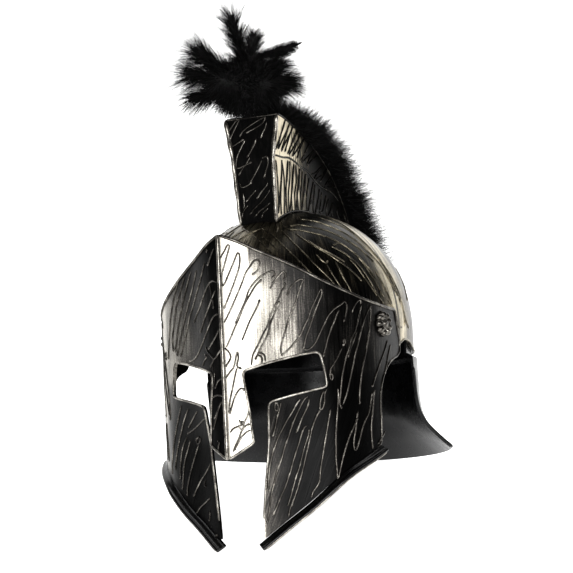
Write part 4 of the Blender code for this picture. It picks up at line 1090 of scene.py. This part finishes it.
def makeTuft():
    rng = np.random.default_rng(7)
    radii = np.array(tuft["radii"])
    heart = lumpyBall("tuftHeart", tuftCentre, radii * tuft["heart"], 1.0)
    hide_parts("plume_front")
    perPlume, under = ((tuft["locks"], tuft["under"]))
    roots, ways, lengths = [], [], []
    for tip, radius in tuft["plumes"]:
        tip, radius = np.array(tip) * tuft["reach"], radius * tuft["reach"]
        axis = unit(tip)
        side = unit(np.cross(axis, (0.31, 0.2, 0.9)))
        other = np.cross(axis, side)
        share = rng.uniform(0.15, 0.86, perPlume)
        turn = rng.uniform(0.0, 2.0 * math.pi, perPlume)
        out = np.cos(turn)[:, None] * side + np.sin(turn)[:, None] * other
        full = alongTable(((0.0, 0.8), (0.5, 1.0), (0.9, 0.9), (1.0, 0.8)), share)
        roots.append(tuftCentre + tip * share[:, None])
        ways.append(unit(0.62 * out + axis * (0.75 + 0.6 * share[:, None])))
        lengths.append(radius * full * 1.55 + 2.0)
    featherLocks("tuftDown", np.vstack(roots), np.vstack(ways), np.hstack(lengths), tuft, down, rng)
    # short down all over the heart
    loose = unit(rng.normal(size=(under, 3)))
    roots = tuftCentre + loose * radii * 0.82
    ways = unit(loose + 0.7 * unit(rng.normal(size=loose.shape)))
    featherLocks("tuftUnderDown", roots, ways, rng.uniform(8.0, 15.0, under), tuft, down, rng)
    print("tuft made")


def makeQuill():
    # one stiff feather: a tapering shaft with a vane of close barbs each side, bare at its tip
    root = tuftCentre + np.array(tuft["quillRoot"]) * tuft["reach"]
    tip = tuftCentre + np.array(tuft["quillTip"]) * tuft["reach"]
    t = np.linspace(0.0, 1.0, 40)[:, None]
    axis = unit(tip - root)
    side = unit(np.cross(axis, (0.436, -0.895, -0.094)))
    shaft = root + (tip - root) * t + side * 1.6 * np.sin(math.pi * t)
    out = np.broadcast_to(np.cross(side, axis), shaft.shape)
    makeBeads("quillShaft", [{"centre": shaft, "out": out, "radius": 0.9, "height": 1.0}],
              quillBlack)
    rng = np.random.default_rng(3)
    count = 260
    share = np.tile(np.linspace(0.02, 0.84, count // 2), 2)
    which = np.repeat((1.0, -1.0), count // 2)[:, None]
    roots = root + (tip - root) * share[:, None] + side * 1.6 * np.sin(math.pi * share)[:, None]
    ways = unit(axis + which * side * 0.75)
    lengths = 11.0 * np.clip(np.sin(math.pi * np.clip(share * 0.9 + 0.12, 0, 1)), 0.35, 1.0)
    featherLocks("quillVane", roots, ways, lengths, {"barbs": 5, "width": 0.5}, quillBlack, rng,
                 fan=0.05, droop=0.0)


def boaPath():
    # along the crest's top edge, then down the back of the dome: (y, z)
    first, last = (crestFront + crestLength * boa[key] for key in ("start", "stemEnd"))
    end = crestFront + crestLength
    y = np.r_[np.linspace(first, last, 13), last + (end - last) * np.array((0.5, 0.95)), end + 2.5]
    z = crestTop(np.minimum(y, end)) + np.r_[np.zeros(13), 1.5, 1.5, 0.5]
    start = math.asin((crest["backward"] / dome["back"]) ** (0.5 * dome["roundness"]))
    angle = start + (math.radians(boa["endAngle"]) - start) * np.arange(1, 5) / 4.0
    place, normal = onDome(0.5 * math.pi, angle, 0.6)
    return np.stack((np.r_[y, place[:, 1]], np.r_[z, place[:, 2]]), -1)


def onBoa(share, across, out):
    # a half round of down on the path: across from one side (-1) to the other (1), out = share
    # of the way from the backing to the tips
    path = boaPath()
    run = np.r_[0.0, np.cumsum(np.hypot(*np.diff(path, axis=0).T))]
    at = np.asarray(share) * run[-1]
    y, z = np.interp(at, run, path[:, 0]), np.interp(at, run, path[:, 1])
    dy = np.interp(at + 4.0, run, path[:, 0]) - np.interp(at - 4.0, run, path[:, 0])
    dz = np.interp(at + 4.0, run, path[:, 1]) - np.interp(at - 4.0, run, path[:, 1])
    along = unit(np.stack((0.0 * dy, dy, dz), -1))
    normal = np.stack((0.0 * dy, -along[..., 2], along[..., 1]), -1)
    width = boa["halfWidth"] * alongTable(boa["spread"], share, 1)
    depth = boa["depth"] * alongTable(boa["spread"], share, 2)
    turn = np.asarray(across) * 0.5 * math.pi
    centre = np.stack((0.0 * y, y, z), -1)
    offset = (np.stack((width * np.sin(turn), 0.0 * y, 0.0 * y), -1)
              + normal * (depth * np.cos(turn) * 0.94 + 2.0)[..., None])
    return centre + offset * np.asarray(out)[..., None], along, unit(offset)


def makeBoa():
    rng = np.random.default_rng(17)
    # dark heart: the same half round drawn in, with lumps, and closed close to the path
    rows, columns = 90, 40
    share = np.linspace(0.0, 1.0, rows)[:, None] * np.ones((1, columns))
    across = np.ones((rows, 1)) * np.linspace(-1.0, 1.0, columns)[None, :]
    lump = boa["heart"] + 0.05 * np.sin(share * 60.0) * np.sin(across * 7.0)
    lump = lump + 0.04 * np.sin(share * 110.0 + 5.0 * across)
    heart, _, _ = onBoa(share, across, lump)
    heart = np.concatenate((heart, heart[:, ::-1] * (0.5, 1.0, 1.0)), 1)
    backing, _, _ = onBoa(share[:, :1], 0.0 * share[:, :1], 0.03 + 0.0 * share[:, :1])
    heart[:, columns:] = backing + (heart[:, columns:] - backing) * 0.04
    ring = 2 * columns
    faces = gridFaces(rows, ring, True).tolist()
    faces += [list(range(ring)), list(range((rows - 1) * ring, rows * ring))]
    piece = makePiece("boaHeart", placed(heart), faces, (down,))
    closeUp(piece)
    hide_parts("plume_back")
    # short down close over the heart, then longer locks that thin out to the tips
    for name, count, low, reachOut, fan in (("boaUnderDown", boa["under"], 0.62, 0.6, 0.45),
                                            ("boaDown", boa["locks"], 0.6, 1.0, 0.4)):
        count = count
        share = rng.uniform(0.0, 1.0, count)
        across = np.clip(rng.normal(0.0, 0.62, count), -1.0, 1.0)
        outer, along, normal = onBoa(share, across, np.ones(count))
        root, _, _ = onBoa(share, across, np.full(count, low))
        lengths = np.linalg.norm(outer - root, axis=1) * rng.uniform(0.75, 1.2, count) * reachOut
        lengths = lengths + 2.0 + 8.0 * reachOut
        ways = unit(normal + along * rng.uniform(-0.5, 0.5, (count, 1))
                    + 0.4 * unit(rng.normal(size=(count, 3))))
        featherLocks(name, root, ways, lengths, boa, down, rng, fan=fan, droop=0.08)
    print("boa made")


def crestPaint():
    # the crest's side walls carry thick cream-grey paint, its front is nearly bare black
    finish, tree, shader, place = newFinish("creamBrushedPaint")
    split = addNode(tree, "ShaderNodeSeparateXYZ", {}, {0: place.outputs["Object"]})
    facing = addNode(tree, "ShaderNodeNewGeometry")
    sideways = addNode(tree, "ShaderNodeSeparateXYZ", {}, {0: facing.outputs["Normal"]})
    onFlank = addNode(tree, "ShaderNodeMapRange", {"From Min": 0.5, "From Max": 0.8},
                      {"Value": maths(tree, "ABSOLUTE", sideways.outputs[0])})
    # bristle marks 2 mm wide and 40 mm long, down the wall
    fine = addNode(tree, "ShaderNodeMapping", {"Scale": (500.0, 500.0, 25.0),
                                               "Rotation": (math.radians(15.0), 0.0, 0.0)},
                   {"Vector": place.outputs["Object"]})
    marks = addNode(tree, "ShaderNodeTexNoise", {"Scale": 1.0, "Detail": 5.0, "Roughness": 0.6},
                    {"Vector": fine.outputs[0]}).outputs[0]
    # the cream gives way to black towards the back, from y = 4 mm to 58 mm
    thin = addNode(tree, "ShaderNodeMapRange", {"From Min": 0.004, "From Max": 0.058,
                                                "To Min": 0.12, "To Max": -0.36},
                   {"Value": split.outputs[1]})
    cream = colourAt(tree, maths(tree, "ADD", marks, thin.outputs[0]),
                     ((0.3, "#0e0d0b"), (0.44, "#57503f"), (0.58, "#e0d5bd")))
    black = colourAt(tree, marks, ((0.45, "#070707"), (0.8, "#22211f")))
    both = addNode(tree, "ShaderNodeMix", {"data_type": "RGBA"},
                   {0: onFlank.outputs[0], 6: black, 7: cream})
    tree.links.new(both.outputs[2], shader.inputs["Base Color"])
    shader.inputs["Metallic"].default_value = 0.55
    shader.inputs["Roughness"].default_value = 0.36
    setBump(tree, shader, marks, 0.15, brush["depth"])
    return finish


makeDome()
makeDomePiping()
makeGuard()
print("dome and neck guard made")
makeMask()
makeMaskFrames()
makeMaskPiping()
makeLip("cheekLipLeft", 1.0, "cheek_lip_left")
makeLip("cheekLipRight", -1.0, "cheek_lip_right")
makeRosette("rosetteLeft", 1.0, "temple_rosette_left")
makeRosette("rosetteRight", -1.0, "temple_rosette_right")
print("mask made")
for slot in bpy.data.objects["crest_box"].material_slots:
    slot.material = crestPaint()
makeCrestBeads()
makeTuft()
makeQuill()
makeBoa()

# studio
studio = {
    "azimuth": 26.0, "elevation": -5.4, "roll": -2.71, "distance": 2000.0, "focal": 2240.0,
    "target": (8.9, 110.0, 152.7), "pixels": 573.0, "sensor": 36.0, "farthest": 60.0,
    # lights: azimuth, elevation, distance in metres, size in metres, watts
    "keySoftbox": (27.0, 18.0, 2.6, (1.45, 1.2), 38.0),
    "topSoftbox": (190.0, 70.0, 2.2, (1.2, 1.2), 11.0),
    "aim": 0.2, "air": 0.06,
}
# white paper in metres from the helmet: where the floor starts and ends, the radius of the
# bend, the straight wall's lowest and highest row, half widths; and how much the paper glows
paper = {
    "start": -14.0, "end": 2.2, "radius": 1.2, "wallLow": 1.3, "wallTop": 5.0,
    "floorHalf": 14.0, "wallHalf": 6.0, "glow": 0.85, "columns": 12,
}


def cameraAxes():
    # right, up and backward directions of the camera, rolled, then turned with the helmet
    a, e, r = (math.radians(studio[key]) for key in ("azimuth", "elevation", "roll"))
    backward = np.array((math.sin(a) * math.cos(e), -math.cos(a) * math.cos(e), math.sin(e)))
    right = np.array((math.cos(a), math.sin(a), 0.0))
    up = np.array((-math.sin(a) * math.sin(e), math.cos(a) * math.sin(e), math.cos(e)))
    rolled = math.cos(r) * right + math.sin(r) * up, -math.sin(r) * right + math.cos(r) * up
    return turned(rolled[0]), turned(rolled[1]), turned(backward)


def makeCamera():
    right, up, backward = cameraAxes()
    eye = placed(studio["target"]) + backward * studio["distance"] * 0.001
    lens = bpy.data.cameras.new("camera")
    lens.lens = studio["sensor"] * studio["focal"] / studio["pixels"]
    lens.sensor_width = studio["sensor"]
    lens.clip_end = studio["farthest"]
    camera = bpy.data.objects.new("camera", lens)
    turn = Matrix((right, up, backward)).transposed().to_4x4()
    camera.matrix_world = Matrix.Translation(eye) @ turn
    bpy.context.scene.collection.objects.link(camera)
    bpy.context.scene.camera = camera


def makeFloor():
    # a wide floor, and behind it a quarter round up to a wall
    a = math.radians(studio["azimuth"])
    bend = np.linspace(0.0, 0.5 * math.pi, 24)[1:]
    end, radius, columns = paper["end"], paper["radius"], paper["columns"]
    floor = np.stack((np.linspace(paper["start"], end, 40), np.zeros(40)), -1)
    wall = np.stack((np.r_[end, end + radius * np.sin(bend), np.full(10, end + radius)],
                     np.r_[0.0, radius - radius * np.cos(bend),
                           np.linspace(paper["wallLow"], paper["wallTop"], 10)]), -1)
    finish = bpy.data.materials.new("matteWhitePaper")
    finish.use_nodes = True
    shader = finish.node_tree.nodes["Principled BSDF"]
    shader.inputs["Base Color"].default_value = hexColour("#f4f4f3")
    shader.inputs["Roughness"].default_value = 0.9
    shader.inputs["Emission Color"].default_value = hexColour("#ffffff")
    shader.inputs["Emission Strength"].default_value = paper["glow"]
    for name, track, half in (("paperFloor", floor, paper["floorHalf"]),
                              ("paperWall", wall, paper["wallHalf"])):
        across = np.linspace(-half, half, columns)[None, :]
        along, height = track[:, :1], track[:, 1:]
        points = np.stack((across * math.cos(a) - along * math.sin(a),
                           across * math.sin(a) + along * math.cos(a), height + 0.0 * across), -1)
        mesh = bpy.data.meshes.new(name)
        mesh.from_pydata(points.reshape(-1, 3), [], gridFaces(len(track), columns))
        mesh.shade_smooth()
        mesh.materials.append(finish)
        sheet = bpy.data.objects.new(name, mesh)
        bpy.context.scene.collection.objects.link(sheet)


def makeSoftbox(name):
    # a rectangular light that looks down its own way at the helmet
    azimuth, elevation, distance, size, watts = studio[name]
    a, e = math.radians(azimuth), math.radians(elevation)
    way = np.array((math.sin(a) * math.cos(e), -math.cos(a) * math.cos(e), math.sin(e)))
    lamp = bpy.data.lights.new(name, "AREA")
    lamp.shape = "RECTANGLE"
    lamp.size, lamp.size_y = size
    lamp.energy = watts
    light = bpy.data.objects.new(name, lamp)
    light.matrix_world = (Matrix.Translation(way * distance + (0.0, 0.0, studio["aim"]))
                          @ Vector(way).to_track_quat("Z", "Y").to_matrix().to_4x4())
    bpy.context.scene.collection.objects.link(light)


makeCamera()
makeFloor()
makeSoftbox("keySoftbox")
makeSoftbox("topSoftbox")
world = bpy.data.worlds.new("studioAir")
world.use_nodes = True
world.node_tree.nodes["Background"].inputs[0].default_value = hexColour("#ffffff")
world.node_tree.nodes["Background"].inputs[1].default_value = studio["air"]
bpy.context.scene.world = world
bpy.context.scene.view_settings.view_transform = "Standard"
bpy.context.scene.view_settings.look = "Medium High Contrast"
bpy.context.view_layer.update()
print("studio set")
